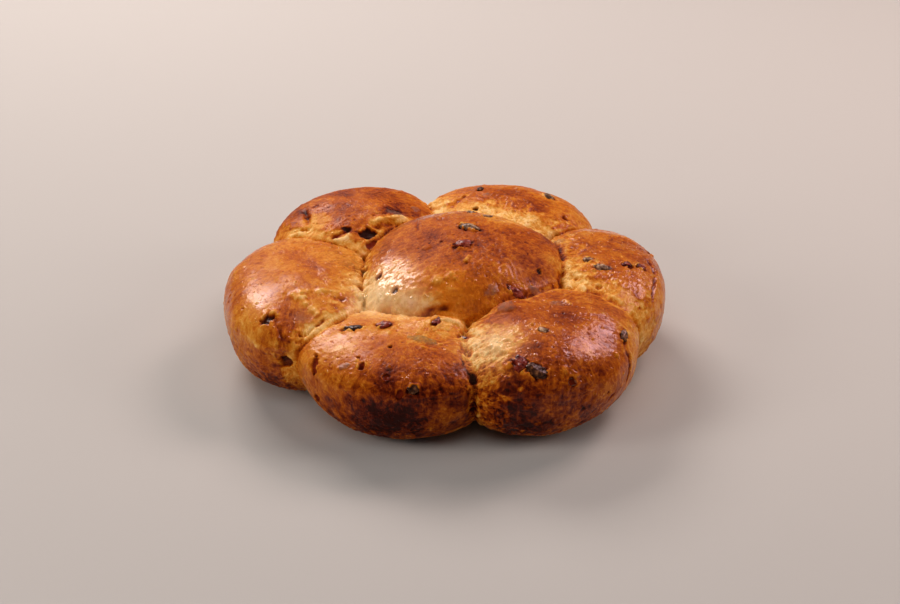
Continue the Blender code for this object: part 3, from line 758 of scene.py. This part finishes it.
WRINKLE, FINE_WRINKLE = 4.2, 2.0
WRINKLE_HEIGHT = 0.75
WRINKLE_LEAN = np.array([0.60, 0.40, 0.69])  # the wrinkles are drawn out along this direction, by this share
WRINKLE_DRAWN = 0.2


def bake_wrinkles(coat, bent):
    """The wrinkles of the drying egg wash: ridges, drawn out along one direction."""
    slanted = bent - WRINKLE_DRAWN * (bent @ WRINKLE_LEAN)[:, None] * WRINKLE_LEAN
    folds = threads(slanted / WRINKLE, slanted / FINE_WRINKLE, 73)
    wrinkled = np.clip(coat.wrinkled, 0, 1) * coat.uneven
    coat.relief += WRINKLE_HEIGHT * wrinkled * (folds - 0.4)
    coat.brown -= 0.10 * wrinkled * (folds - 0.4)


BLISTER, HOLE = 5.5, 3.4  # the size of the lattice cell that may hold one
BLISTER_HEIGHT, HOLE_DEPTH = 0.48, 0.6


def bake_blisters(coat, points, rising):
    """Small blisters and pin holes, strewn at random: blunt cones up, and sharp ones down."""
    blister = cones(points / BLISTER, 80, 0.08, 0.20, rare=0.5) ** 0.6
    coat.relief += BLISTER_HEIGHT * blister * (rising > -0.2)
    coat.brown += 0.06 * blister
    hole = cones(points / HOLE, 84, 0.10, 0.2, rare=0.84)
    coat.relief -= HOLE_DEPTH * hole
    coat.brown += 0.22 * hole


CRUMB, FINE_CRUMB = 5.5, 2.6
TORN_PIT = 2.3  # the size of the lattice cell that holds one


def bake_torn(coat, bent):
    """Torn crumb where the skin is broken: clouded noise with a pit in each cell of a lattice."""
    torn = np.clip(coat.torn, 0, 1)
    rag = 0.6 * noise(bent / CRUMB, 89) + 0.7 * cloud(bent / FINE_CRUMB, 90, 3)
    pit = cones(bent / TORN_PIT, 93, 0.2, 0.3)
    coat.relief += torn * (0.62 * rag - 0.7 * pit)
    coat.brown += torn * (0.30 * pit - 0.12 * rag)
    coat.gloss -= 0.35 * torn


FLANK_TOP, FLANK_BOTTOM = 30, 8  # the veined flank comes in from the first height to the second
FLANK_VEIN, FLANK_GRAIN, FLANK_MOTTLE = np.array([4.5, 4.5, 9.0]), 1.9, 6
FOOT_TOP, FOOT_BOTTOM = 2.5, 0.4  # and the foot's dull brown from this one to that
FOOT_BROWN = 0.75


def bake_foot(coat, points, rising):
    """The lower flanks, veined, less glossy and darker, partly as painted shade, and the dull brown foot that
    lay on the baking sheet.
    """
    low = step_up(FLANK_TOP, FLANK_BOTTOM, points[:, 2]) * step_up(0.35, -0.25, rising)
    veins = ridges(points / FLANK_VEIN + 0.4 * bend(points / 5, 96), 95) ** 2
    grit = cloud(points / FLANK_GRAIN, 97)
    mottle = cloud(points / FLANK_MOTTLE + 0.5 * bend(points / 4, 94), 92, 3)
    coat.relief += low * (0.26 * grit + 0.30 * veins)
    # The 0.10 darkens the low, downward-facing flanks: partly their baked colour, partly painted shade.
    coat.brown += low * (0.14 * grit - 0.22 * veins + 0.26 * mottle + 0.10)
    coat.gloss -= 0.5 * low
    coat.mottled += 0.4 * low
    foot = step_up(FOOT_TOP, FOOT_BOTTOM, points[:, 2])
    coat.brown += foot * (FOOT_BROWN - coat.brown) * 0.8


LINE_WANDER = 4  # how soon a line strays to one side or the other
LINE_BREAK = 4.5  # how long a stretch of it is strong or faint
LINE_DEPTH = 12  # a line isn't drawn on crust that is farther in or out than this


def bake_lines(coat, points):
    """The named folds, splits, threads and painted-shade lines: bowed bell-shaped furrows or ridges, splits
    red with juice, one groove red as painted shadow.
    """
    wander = cloud(points / LINE_WANDER, 99)
    broken = np.clip(0.75 + 0.9 * noise(points / LINE_BREAK, 98), 0.15, 1.2)
    for line, anchor in PLACED_LINES:
        offset = points - anchor.place
        inside = np.abs(offset).max(axis=1) < line.length
        offset = offset[inside]
        along = offset @ anchor.along / (line.length / 2)
        across = offset @ anchor.across - line.bend * (0.5 - along**2) + wander[inside]
        within = step_up(1.1, 0.6, np.abs(along)) * (np.abs(offset @ anchor.normal) < LINE_DEPTH)
        weight = within * broken[inside] * bell(across / line.width)
        coat.relief[inside] -= line.depth * weight
        coat.brown[inside] += line.bake * weight
        if line.bake > SPLIT_AND_SHADOW_BAKE:
            stain(coat, inside, SPLIT_AND_SHADOW_RED, 0.8 * weight)


PIT_RAG = 1.8
RIM_HEIGHT = 0.25


def bake_pits(coat, points):
    """The named small holes, dark inside and ragged round their edge, and the named blisters."""
    ragged = 1 + 0.4 * noise(points / PIT_RAG, 110)
    for pit, anchor in PLACED_PITS:
        far = np.linalg.norm(points - anchor.place, axis=1) / pit.radius * ragged
        if pit.depth > 0:
            coat.relief -= pit.depth * step_up(1.15, 0.5, far)
            coat.relief += RIM_HEIGHT * bell((far - 1.4) / 0.3)
            coat.brown += 0.20 * step_up(1.2, 0.5, far)
        else:
            coat.relief -= pit.depth * np.sqrt(np.clip(1 - far**2, 0, 1))
            coat.stained *= 1 - step_up(1.2, 0.8, far)


POCKET_RAG, HIDDEN_RAG = 0.35, 0.15  # how ragged a pocket's edge is, and a hidden fruit's
RAG = 2.4
COVERED_LUMP, COVERED_CLOUD = 2, 2.5
LIP_STRETCH = 3.6  # how long a stretch of a pocket's edge has a lip of dough, or none
POCKET_LUMP = 1.8


def bake_covered(coat, inside, here, far, fruit):
    """Fruit under the crust: a low dome, lumpy and a little dull, with a faint ring round it, in the colour
    of the fruit seen through dough, which for a skin is partly a painted lavender sheen."""
    inner = step_up(1.15, 0.7, far)
    height = 0.25 * FRUIT_THICKNESS * fruit.width * fruit.proud
    dome = height * np.sqrt(np.clip(1 - far**2, 0, 1))
    coat.relief[inside] += dome + 0.25 * inner * cloud(here / COVERED_LUMP, 104)
    coat.relief[inside] -= 0.15 * bell((far - 1.1) / 0.15)
    coat.gloss[inside] -= 0.15 * inner
    stain(coat, inside, VEILS[fruit.kind], inner * (0.55 + 0.5 * noise(here / COVERED_CLOUD, 106)))


def bake_pocket(coat, inside, here, far, fruit, number):
    """The pocket that a bare fruit sits in: sunk and dark inside its edge, with a lip of pale dough where the
    edge is covered. A hidden fruit leaves its colour in it."""
    cover = np.clip(0.3 + 1.6 * noise(here / LIP_STRETCH + 3 * number, 108), 0, 1)
    edge = 1.2 - 0.45 * cover
    bottom = step_up(edge + 0.12, edge - 0.2, far)
    sunk = 0.6 + 3.0 * max(0.35 - fruit.proud, 0)
    lip = cover * (0.35 + 0.75 * fruit.proud * FRUIT_THICKNESS * fruit.width)
    coat.relief[inside] += lip * bell((far - edge - 0.15) / 0.3)
    coat.relief[inside] -= bottom * (sunk - 0.3 * cloud(here / POCKET_LUMP, 105))
    coat.brown[inside] += bell((far - edge - 0.1) / 0.25) * (0.10 - 0.22 * cover)
    coat.brown[inside] += 0.25 * bottom
    coat.gloss[inside] -= 0.45 * bell((far - edge) / 0.5)
    if is_hidden(fruit):
        share = min(5.5 * fruit.proud, DEEPEST_STAIN)
        stain(coat, inside, DEEP_COLOURS[fruit.kind], share * step_up(edge + 0.05, edge - 0.35, far))


def bake_fruit(coat, points):
    """What the crust has where each fruit lies. `far` is the distance from the fruit's middle, 1 on the
    ellipse of its length and width, made ragged by noise."""
    for number, (fruit, anchor) in enumerate(PLACED_FRUIT):
        offset = points - anchor.place
        inside = np.linalg.norm(offset, axis=1) < 1.5 * fruit.length
        offset, here = offset[inside], points[inside]
        ragged = 1 + (HIDDEN_RAG if is_hidden(fruit) else POCKET_RAG) * noise(here / RAG + number, 101)
        x, y = offset @ anchor.along / fruit.length, offset @ anchor.across / fruit.width
        far = np.hypot(x, y) * 2 * ragged
        if fruit.kind in VEILS:
            bake_covered(coat, inside, here, far, fruit)
        else:
            bake_pocket(coat, inside, here, far, fruit, number)


PLAIN_WRINKLED, PLAIN_MOTTLED = 0.12, 0.42  # what the whole crust has
BENT, BENT_BY = 6, 1.6  # the torn and wrinkled patterns are bent over this length by this much


def crust_detail(points, normals, rows, with_fruit=True):
    """What a point of the smooth crust gets: its relief, how brown, glossy, torn, wrinkled and mottled it
    is, and a colour laid over it, of stains and painted light. It depends only on where the point is, so that
    the skins of two buns agree where they meet."""
    part = shares(rows)
    rising = normals[:, 2]
    count = len(points)
    coat = SimpleNamespace(
        relief=np.zeros(count),
        uneven=np.ones(count),
        brown=sum(part[i] * BROWNING[name] for i, name in enumerate(BUN_NAMES)),
        gloss=sum(part[i] * GLOSS[name] for i, name in enumerate(BUN_NAMES)),
        torn=np.zeros(count),
        wrinkled=np.full(count, PLAIN_WRINKLED),
        mottled=np.full(count, PLAIN_MOTTLED),
        stain=np.zeros((count, 3)),
        stained=np.zeros(count),
    )
    bake_patches(coat, points)
    bake_seams(coat, points, rows)
    bake_wash(coat, points, rising)
    bake_tints_and_painted_light(coat, points)
    bake_streaks(coat, points, part)
    bent = points + BENT_BY * bend(points / BENT, 70)
    bake_wrinkles(coat, bent)
    bake_blisters(coat, points, rising)
    bake_torn(coat, bent)
    bake_foot(coat, points, rising)
    bake_lines(coat, points)
    if with_fruit:
        bake_fruit(coat, points)
    bake_pits(coat, points)
    return coat


# ---- meshes --------------------------------------------------------------------------------------


def mesh_from(name, points, triangles, quads, layers=None):
    """A smooth-shaded mesh object from arrays, in metres and over the origin, with named colour layers."""
    mesh = bpy.data.meshes.new(name)
    mesh.vertices.add(len(points))
    mesh.vertices.foreach_set("co", ((points + CENTRING) * MM).astype(np.float32).ravel())
    corners = np.concatenate([triangles.ravel(), quads.ravel()]).astype(np.int32)
    sizes = np.concatenate([np.full(len(triangles), 3), np.full(len(quads), 4)])
    mesh.loops.add(len(corners))
    mesh.loops.foreach_set("vertex_index", corners)
    mesh.polygons.add(len(sizes))
    mesh.polygons.foreach_set("loop_start", np.concatenate([[0], np.cumsum(sizes)[:-1]]).astype(np.int32))
    mesh.polygons.foreach_set("loop_total", sizes.astype(np.int32))
    mesh.polygons.foreach_set("use_smooth", np.ones(len(sizes), bool))
    mesh.update(calc_edges=True)
    for title, values in (layers or {}).items():
        layer = mesh.attributes.new(title, "FLOAT_COLOR", "POINT")
        layer.data.foreach_set("color", values.astype(np.float32).ravel())
    made = bpy.data.objects.new(name, mesh)
    bpy.context.scene.collection.objects.link(made)
    return made


def closed_rings(rows, columns):
    """Faces of a closed surface made of `rows` rings of `columns` points, then its first and last pole."""
    i, j = np.meshgrid(np.arange(rows - 1), np.arange(columns), indexing="ij")
    k = (j + 1) % columns
    low, high = i * columns, (i + 1) * columns
    quads = np.stack([low + j, low + k, high + k, high + j], axis=-1)
    j = np.arange(columns)
    k = (j + 1) % columns
    first, last = np.full(columns, rows * columns), np.full(columns, rows * columns + 1)
    end = (rows - 1) * columns
    caps = np.concatenate([np.stack([first, k, j], axis=1), np.stack([last, end + j, end + k], axis=1)])
    return caps, quads.reshape(-1, 4)


ROUND, ALONG = 304, 200  # points round a bun, and rings from one of its ends to the other
ROUND_CROWDING, ALONG_CROWDING = 0.48, 0.22  # how much closer they lie where the bun shows
DENSEST = np.radians(72)
RELIEF_SPAN = 4  # the millimetres of relief that the height in the bake layer covers; that height paints low crust darker as shade


def bun_skin(bun):
    """The skin of one bun. Its points lie on rings round the bun's long axis, along directions
    (sin a cos b, cos a, sin a sin b) scaled by its half sizes; each is put on the loaf's crust and then
    moved along the outward normal by the crust's relief. Nothing goes below the baking sheet."""
    step = np.arange(ROUND) * 2 * np.pi / ROUND
    densest = DENSEST if bun.name != "middle" else np.pi / 2
    b = step - ROUND_CROWDING * np.sin(step - densest)
    part = np.arange(1, ALONG) * np.pi / ALONG
    a = part + ALONG_CROWDING * np.sin(2 * part)
    a, b = np.meshgrid(a, b, indexing="ij")
    height = np.where(np.sin(b) > 0, bun.crown, bun.belly)
    rings = np.stack([
        bun.half_width * np.sin(a) * np.cos(b), bun.half_length * np.cos(a), height * np.sin(a) * np.sin(b)
    ], axis=-1).reshape(-1, 3)
    local = np.vstack([rings, [[0, bun.half_length, 0], [0, -bun.half_length, 0]]])
    directions = local @ axes_of(bun)
    directions /= np.linalg.norm(directions, axis=1)[:, None]
    points = crust_of(bun, directions)
    normals = outward(points, neighbours(bun))
    coat = crust_detail(points, normals, beyond(points))
    points = points + normals * coat.relief[:, None]
    points[:, 2] = np.maximum(points[:, 2], 0)
    caps, quads = closed_rings(ALONG - 1, ROUND)
    # The bake layer's third channel is the relief, read by the finish to paint shade in hollows.
    bake = np.stack([coat.brown, coat.gloss, 0.5 + coat.relief / RELIEF_SPAN, coat.torn], axis=1)
    way = np.hstack([0.5 + 0.5 * directions, np.clip(coat.mottled, 0, 1)[:, None]])
    stain_and_light_layer = np.hstack([coat.stain, coat.stained[:, None]])
    layers = {"bake": np.clip(bake, 0, 1), "stain": stain_and_light_layer, "way": way}
    return mesh_from(f"crust_{bun.name}", points, caps, quads, layers)


FRUIT_ROUND, FRUIT_ALONG = 30, 20
BLUNTNESS = 3
FRUIT_FIT = 0.98  # a fruit's size as a share of the size in its row
FRUIT_SHIFT = np.array([7.3, 3.1, 5.7])  # moves each fruit's noise away from that of the one before


def fruit_mesh(kind):
    """All the fruit of one kind. Each is a rounded box, |x|^3 + |y|^3 + |z|^3 = 1, whose radius along a
    direction is scaled by lumps, by folded noise along its length and by finer noise."""
    a, b = np.meshgrid(
        np.arange(1, FRUIT_ALONG) * np.pi / FRUIT_ALONG,
        np.arange(FRUIT_ROUND) * 2 * np.pi / FRUIT_ROUND,
        indexing="ij",
    )
    ball = np.stack([np.cos(a), np.sin(a) * np.cos(b), np.sin(a) * np.sin(b)], axis=-1).reshape(-1, 3)
    ball = np.vstack([ball, [[1, 0, 0], [-1, 0, 0]]])
    blunt = ball / (np.abs(ball) ** BLUNTNESS).sum(axis=1, keepdims=True) ** (1 / BLUNTNESS)
    caps, quads = closed_rings(FRUIT_ALONG - 1, FRUIT_ROUND)
    wanted = [
        (i, fruit, anchor) for i, (fruit, anchor) in enumerate(PLACED_FRUIT)
        if fruit.kind == kind and not is_hidden(fruit)
    ]
    places = np.array([anchor.place for _, _, anchor in wanted])
    normals = np.array([anchor.normal for _, _, anchor in wanted])
    lifts = crust_detail(places, normals, beyond(places), with_fruit=False).relief
    points, cap_faces, quad_faces = [], [], []
    for (i, fruit, anchor), lift in zip(wanted, lifts):
        shift = i * FRUIT_SHIFT
        lengthways = ridges(ball * [1.4, 2.6, 2.6] + shift, 120)
        lumpy = noise(ball * 1.4 + shift, 121)
        wrinkled = 1 + 0.36 * lumpy - 0.26 * lengthways**2 + 0.14 * cloud(ball * 3.0 + shift, 122)
        half = np.array([fruit.length, fruit.width, FRUIT_THICKNESS * fruit.width]) / 2
        local = blunt * wrinkled[:, None] * half * FRUIT_FIT
        local[:, 2] += lift + (fruit.proud - 0.5) * 2 * half[2]
        start = len(points) * len(ball)
        points.append(anchor.place + local @ np.array([anchor.along, anchor.across, anchor.normal]))
        cap_faces.append(caps + start)
        quad_faces.append(quads + start)
    return mesh_from(f"{kind}s", *map(np.concatenate, (points, cap_faces, quad_faces)))


# ---- finishes ------------------------------------------------------------------------------------


def colour(code):
    """A socket's colour from an sRGB hex code."""
    return (*linear(code), 1.0)


def plug(node, inputs):
    """Gives each named or numbered input of a node a value, or a link from a socket or from another node's
    first output."""
    for name, value in enumerate(inputs) if isinstance(inputs, tuple) else inputs.items():
        if isinstance(value, bpy.types.Node):
            value = value.outputs[0]
        if isinstance(value, bpy.types.NodeSocket):
            node.id_data.links.new(value, node.inputs[name])
        else:
            node.inputs[name].default_value = value


def add(tree, kind, inputs=(), stops=(), **settings):
    """Adds a node with its inputs, its own settings and, on a colour ramp, its stops, each of a position and
    an sRGB code."""
    made = tree.nodes.new(f"ShaderNode{kind}")
    for name, value in settings.items():
        setattr(made, name, value)
    for position, _ in stops[1:-1]:
        made.color_ramp.elements.new(position)
    for number, (position, code) in enumerate(stops):
        made.color_ramp.elements[number].position = position
        made.color_ramp.elements[number].color = colour(code)
    plug(made, inputs)
    return made


def grain(tree, spot, size, detail=2.0, distortion=0.0):
    """Noise about 0, from -0.5 to 0.5, whose patches are as large as the size in millimetres."""
    values = {"Vector": spot, "Scale": 1 / (size * MM), "Detail": detail, "Distortion": distortion}
    return add(tree, "Math", (add(tree, "TexNoise", values), 0.5), operation="SUBTRACT")


def dots(tree, spot, size, radius, kept):
    """Round dots from 0 at their edge to 1, one for each cell of the size in millimetres: the share kept
    shows, and the radius is a share of the size."""
    cell = add(tree, "TexVoronoi", {"Vector": spot, "Scale": 1 / (size * MM)})
    number = add(tree, "SeparateColor", {"Color": cell.outputs["Color"]})
    chosen = add(tree, "Math", (number, kept), operation="LESS_THAN")
    shape = add(tree, "MapRange", (cell, radius, 0.0, 0.0, 1.0), interpolation_type="SMOOTHSTEP")
    return add(tree, "Math", (shape, chosen), operation="MULTIPLY")


def summed(tree, level, parts):
    """The level plus each part's value times its weight."""
    for value, weight in parts:
        level = add(tree, "Math", (value, weight, level), operation="MULTIPLY_ADD")
    return level


def material(name):
    """A new material, its node tree and its shader."""
    made = bpy.data.materials.new(name)
    made.use_nodes = True
    return made, made.node_tree, made.node_tree.nodes["Principled BSDF"]


# From raw crumb through gold and chestnut to nearly burnt.
CRUST_RAMP = (
    (0.0, "F4CA86"), (0.15, "E6AE5C"), (0.32, "D69036"), (0.48, "C67118"),
    (0.62, "AB5009"), (0.78, "7C2D05"), (0.90, "541403"), (1.0, "2E0802"),
)
FIBRES_PER_BUN = (76.0, 76.0, 14.0)  # round it and from its top to its foot
HOLE_CELL, BLISTER_CELL, BEAD_CELL = 2.6, 5.2, 2.8
VEIN_CELL = 6.5
CLOUD_CELL, MOTTLE_CELL, FLECK_CELL = 14.0, 4.5, 2.6
CRUMB_GRAIN, FINE_GRAIN = 1.3, 0.8


def crust_layers(tree, spot):
    """What the crust's colour, gloss and bump are made from: the layers of its mesh, fibres drawn out along
    the dough's rise, pin holes, blisters, and beads where the egg wash dried."""
    bake = add(tree, "Attribute", attribute_name="bake")
    way = add(tree, "Attribute", attribute_name="way")
    brown, gloss, height = add(tree, "SeparateColor", {"Color": bake.outputs["Color"]}).outputs
    drawn_out = add(tree, "VectorMath", (way.outputs["Vector"], FIBRES_PER_BUN), operation="MULTIPLY")
    fibres = add(tree, "TexNoise", {"Vector": drawn_out, "Scale": 1.0, "Detail": 3.0, "Distortion": 1.2})
    blisters = dots(tree, spot, BLISTER_CELL, 0.24, 0.5)
    beads = dots(tree, spot, BEAD_CELL, 0.26, 0.6)
    return SimpleNamespace(
        brown=brown,
        gloss=gloss,
        height=height,
        torn=bake.outputs["Alpha"],
        mottled=way.outputs["Alpha"],
        fibres=add(tree, "Math", (fibres, 0.5), operation="SUBTRACT"),
        holes=dots(tree, spot, HOLE_CELL, 0.22, 0.35),
        blisters=blisters,
        beads=beads,
        gloss_and_painted_glint_specks=summed(tree, blisters, [(beads, 0.7)]),
    )


def crust_colour(tree, spot, coat):
    """The ramp of a browning crust, read where the bake layer says: darker in holes, darker in hollows as
    painted shade, paler on glossy blisters and beads as painted glints, paler in fine veins, clouded and
    flecked, with the layer of stains and painted light over it."""
    veins = add(tree, "Math", (grain(tree, spot, VEIN_CELL, 3.0, 1.4),), operation="ABSOLUTE")
    veins = add(tree, "Math", (veins, -20.0, 1.0), operation="MULTIPLY_ADD")
    veins = add(tree, "Math", (veins, 0.0), operation="MAXIMUM")
    veins = add(tree, "Math", (veins, -0.15), operation="MULTIPLY")
    flecks = add(tree, "Math", (grain(tree, spot, FLECK_CELL, 4.0, 0.8), coat.fibres), operation="ADD")
    level = summed(tree, coat.brown, [
        (veins, add(tree, "Math", (coat.mottled, 0.3), operation="ADD")),
        (flecks, add(tree, "Math", (coat.mottled, 0.34, 0.10), operation="MULTIPLY_ADD")),
        (grain(tree, spot, CLOUD_CELL, 4.0, 1.2), 0.20),
        (grain(tree, spot, MOTTLE_CELL, 3.0, 0.8), 0.16),
        # Lower relief is painted darker: painted shade in hollows and creases.
        (add(tree, "Math", (0.5, coat.height), operation="SUBTRACT"), 0.55),
        # Glossy blisters and beads are painted paler here: painted glints. The same specks also add real coat
        # gloss.
        (add(tree, "Math", (coat.gloss_and_painted_glint_specks, coat.gloss), operation="MULTIPLY"), -0.26),
        (coat.holes, 0.12),
    ])
    browned = add(tree, "ValToRGB", {"Fac": level}, stops=CRUST_RAMP)
    tint = add(tree, "Attribute", attribute_name="stain")
    values = {0: tint.outputs["Alpha"], 6: browned, 7: tint.outputs["Color"]}
    return add(tree, "Mix", values, data_type="RGBA").outputs[2]


def crust_bump(tree, spot, coat):
    """The crust's finest relief, in millimetres: grain, rougher where torn, holes, blisters and beads."""
    fine = add(tree, "Math", (grain(tree, spot, FLECK_CELL, 3.0, 0.8), 0.15), operation="MULTIPLY")
    torn = add(tree, "Math", (grain(tree, spot, CRUMB_GRAIN, 4.0, 0.5), coat.torn), operation="MULTIPLY")
    rise = summed(tree, fine, [
        (grain(tree, spot, FINE_GRAIN, 2.0), 0.035),
        (coat.holes, -0.20),
        (coat.blisters, 0.46),
        (coat.beads, 0.28),
        (torn, 0.5),
        (coat.fibres, 0.08),
    ])
    return add(tree, "Bump", {"Strength": 1.0, "Distance": MM, "Height": rise})


def crust_finish():
    """Egg-washed crust: browned dough under a thin, soft-edged gloss, paler where it was torn or stretched
    late in the baking."""
    made, tree, shader = material("egg_washed_crust")
    spot = add(tree, "TexCoord").outputs["Object"]
    coat = crust_layers(tree, spot)
    squared = add(tree, "Math", (coat.gloss, coat.gloss), operation="MULTIPLY")
    bump = crust_bump(tree, spot, coat)
    plug(shader, {
        "Base Color": crust_colour(tree, spot, coat),
        "Roughness": add(tree, "Math", (coat.gloss, -0.16, 0.58), operation="MULTIPLY_ADD"),
        "IOR": 1.45,
        "Specular IOR Level": 0.06,
        "Coat Weight": summed(tree, squared, [(coat.gloss_and_painted_glint_specks, 0.6)]),
        "Coat Roughness": add(tree, "Math", (coat.gloss, -0.16, 0.23), operation="MULTIPLY_ADD"),
        "Coat IOR": 1.33,
        "Subsurface Weight": 0.10,
        "Subsurface Radius": (1.0, 0.35, 0.12),
        "Subsurface Scale": 2.0 * MM,
        "Normal": bump,
        "Coat Normal": bump,
    })
    return made


SKIN_WRINKLE, SKIN_SHADE, SKIN_GRAIN = 2.2, 14.0, 0.9


def fruit_finish(name, stops, roughness, coat):
    """The skin of dried fruit baked in dough: wrinkled, darker in its folds, with a sticky shine."""
    made, tree, shader = material(name)
    spot = add(tree, "TexCoord").outputs["Object"]
    level = add(tree, "Math", (grain(tree, spot, SKIN_WRINKLE, 3.0), 0.5), operation="ADD")
    level = summed(tree, level, [(grain(tree, spot, SKIN_SHADE, 1.0), 0.6)])
    rise = add(tree, "Math", (grain(tree, spot, SKIN_GRAIN, 3.0), 0.35), operation="MULTIPLY")
    plug(shader, {
        "Base Color": add(tree, "ValToRGB", {"Fac": level}, stops=stops),
        "Roughness": roughness,
        "Specular IOR Level": 0.15,
        "Coat Weight": coat,
        "Coat Roughness": 0.12,
        "Normal": add(tree, "Bump", {"Strength": 1.0, "Distance": MM, "Height": rise}),
    })
    return made


# ---- the loaf ------------------------------------------------------------------------------------

# From the folds of each skin to its crests.
RAISIN_RAMP = ((0.34, "1C0B05"), (0.54, "42200F"), (0.78, "905A34"))
CRANBERRY_RAMP = ((0.32, "3A080A"), (0.52, "741C0E"), (0.76, "AC5034"))
SULTANA_RAMP = ((0.32, "3C261C"), (0.50, "825E46"), (0.72, "D0AA88"))

CRUST = crust_finish()
FRUIT_FINISHES = {
    "raisin": fruit_finish("raisin_skin", RAISIN_RAMP, 0.45, 0.22),
    "cranberry": fruit_finish("cranberry_skin", CRANBERRY_RAMP, 0.42, 0.25),
    "sultana": fruit_finish("sultana_skin", SULTANA_RAMP, 0.5, 0.14),
}

PIECES = [(bun_skin(bun), CRUST) for bun in BUNS]
PIECES += [(fruit_mesh(kind), finish) for kind, finish in FRUIT_FINISHES.items()]
for piece, finish in PIECES:
    piece.data.materials.append(finish)
    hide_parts("brioche")
    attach(piece, "root")

# ---- floor, light and camera, in metres ----------------------------------------------------------

FLOOR_SIZE = 6.0
BOX_AIM = Vector((0, 0, 0.04))  # what the soft boxes stand round


def floor_plane(size):
    """A flat square under the loaf, of matt paint: pale and without a gleam."""
    mesh = bpy.data.meshes.new("floor")
    half = size / 2
    corners = [(-half, -half, 0), (half, -half, 0), (half, half, 0), (-half, half, 0)]
    mesh.from_pydata(corners, [], [(0, 1, 2, 3)])
    made = bpy.data.objects.new("floor", mesh)
    bpy.context.scene.collection.objects.link(made)
    finish, _, shader = material("pale_matt_floor")
    plug(shader, {"Base Color": colour("BBB8B4"), "Roughness": 0.85, "Specular IOR Level": 0.1})
    mesh.materials.append(finish)
    return made


def soft_box(name, bearing, rise, distance, width, height, radiance, tint, mirrored=True, lighting=True):
    """A rectangular soft light that faces the loaf from a bearing and a rise in degrees. One that isn't
    mirrored lights the crust without showing in its gloss, and one that isn't lighting only shows there."""
    light = bpy.data.lights.new(name, "AREA")
    light.shape = "RECTANGLE"
    light.size, light.size_y = width, height
    light.energy = radiance * np.pi * width * height
    light.color = colour(tint)[:3]
    made = bpy.data.objects.new(name, light)
    way = Vector(towards(bearing, rise))
    made.visible_glossy = mirrored
    made.visible_diffuse = lighting
    made.location = way * distance + BOX_AIM
    made.rotation_euler = (-way).to_track_quat("-Z", "Y").to_euler()
    bpy.context.scene.collection.objects.link(made)


floor_plane(FLOOR_SIZE)
soft_box("left_box", 117, 38, 1.3, 0.66, 0.52, 12.0, "FFF2EC", mirrored=False)
soft_box("left_gleam", 117, 37, 1.31, 0.66, 0.50, 18.5, "FFF0EA", lighting=False)
soft_box("right_box", 38, 44, 1.3, 0.50, 0.46, 10.5, "FFE6DE", mirrored=False)
soft_box("right_gleam", 38, 42, 1.31, 0.50, 0.54, 14.5, "FFD4DC", lighting=False)
soft_box("left_side_box", 203, 24, 1.4, 0.4, 0.5, 10.5, "FFF4EE", mirrored=False)
soft_box("right_side_box", 352, 24, 1.4, 0.4, 0.5, 7.0, "FFEEE8", mirrored=False)
soft_box("front_fill", 262, 55, 1.8, 1.2, 0.9, 1.9, "FFFFFF", mirrored=False)

world = bpy.data.worlds.new("studio")
world.use_nodes = True
plug(world.node_tree.nodes["Background"], {"Color": colour("F2F2F4"), "Strength": 0.08})
bpy.context.scene.world = world
bpy.context.scene.view_settings.view_transform = "Standard"

CAMERA_DISTANCE = 1.157
CAMERA_TARGET = Vector((0.0025, 0.0002, 0.0296))
lens = bpy.data.cameras.new("camera")
lens.lens = 81
lens.sensor_width = 36
camera = bpy.data.objects.new("camera", lens)
camera.location = CAMERA_TARGET + Vector(FRONT_VIEW) * CAMERA_DISTANCE
camera.rotation_euler = (np.radians(90 - FRONT_RISE), 0, 0)
bpy.context.scene.collection.objects.link(camera)
bpy.context.scene.camera = camera
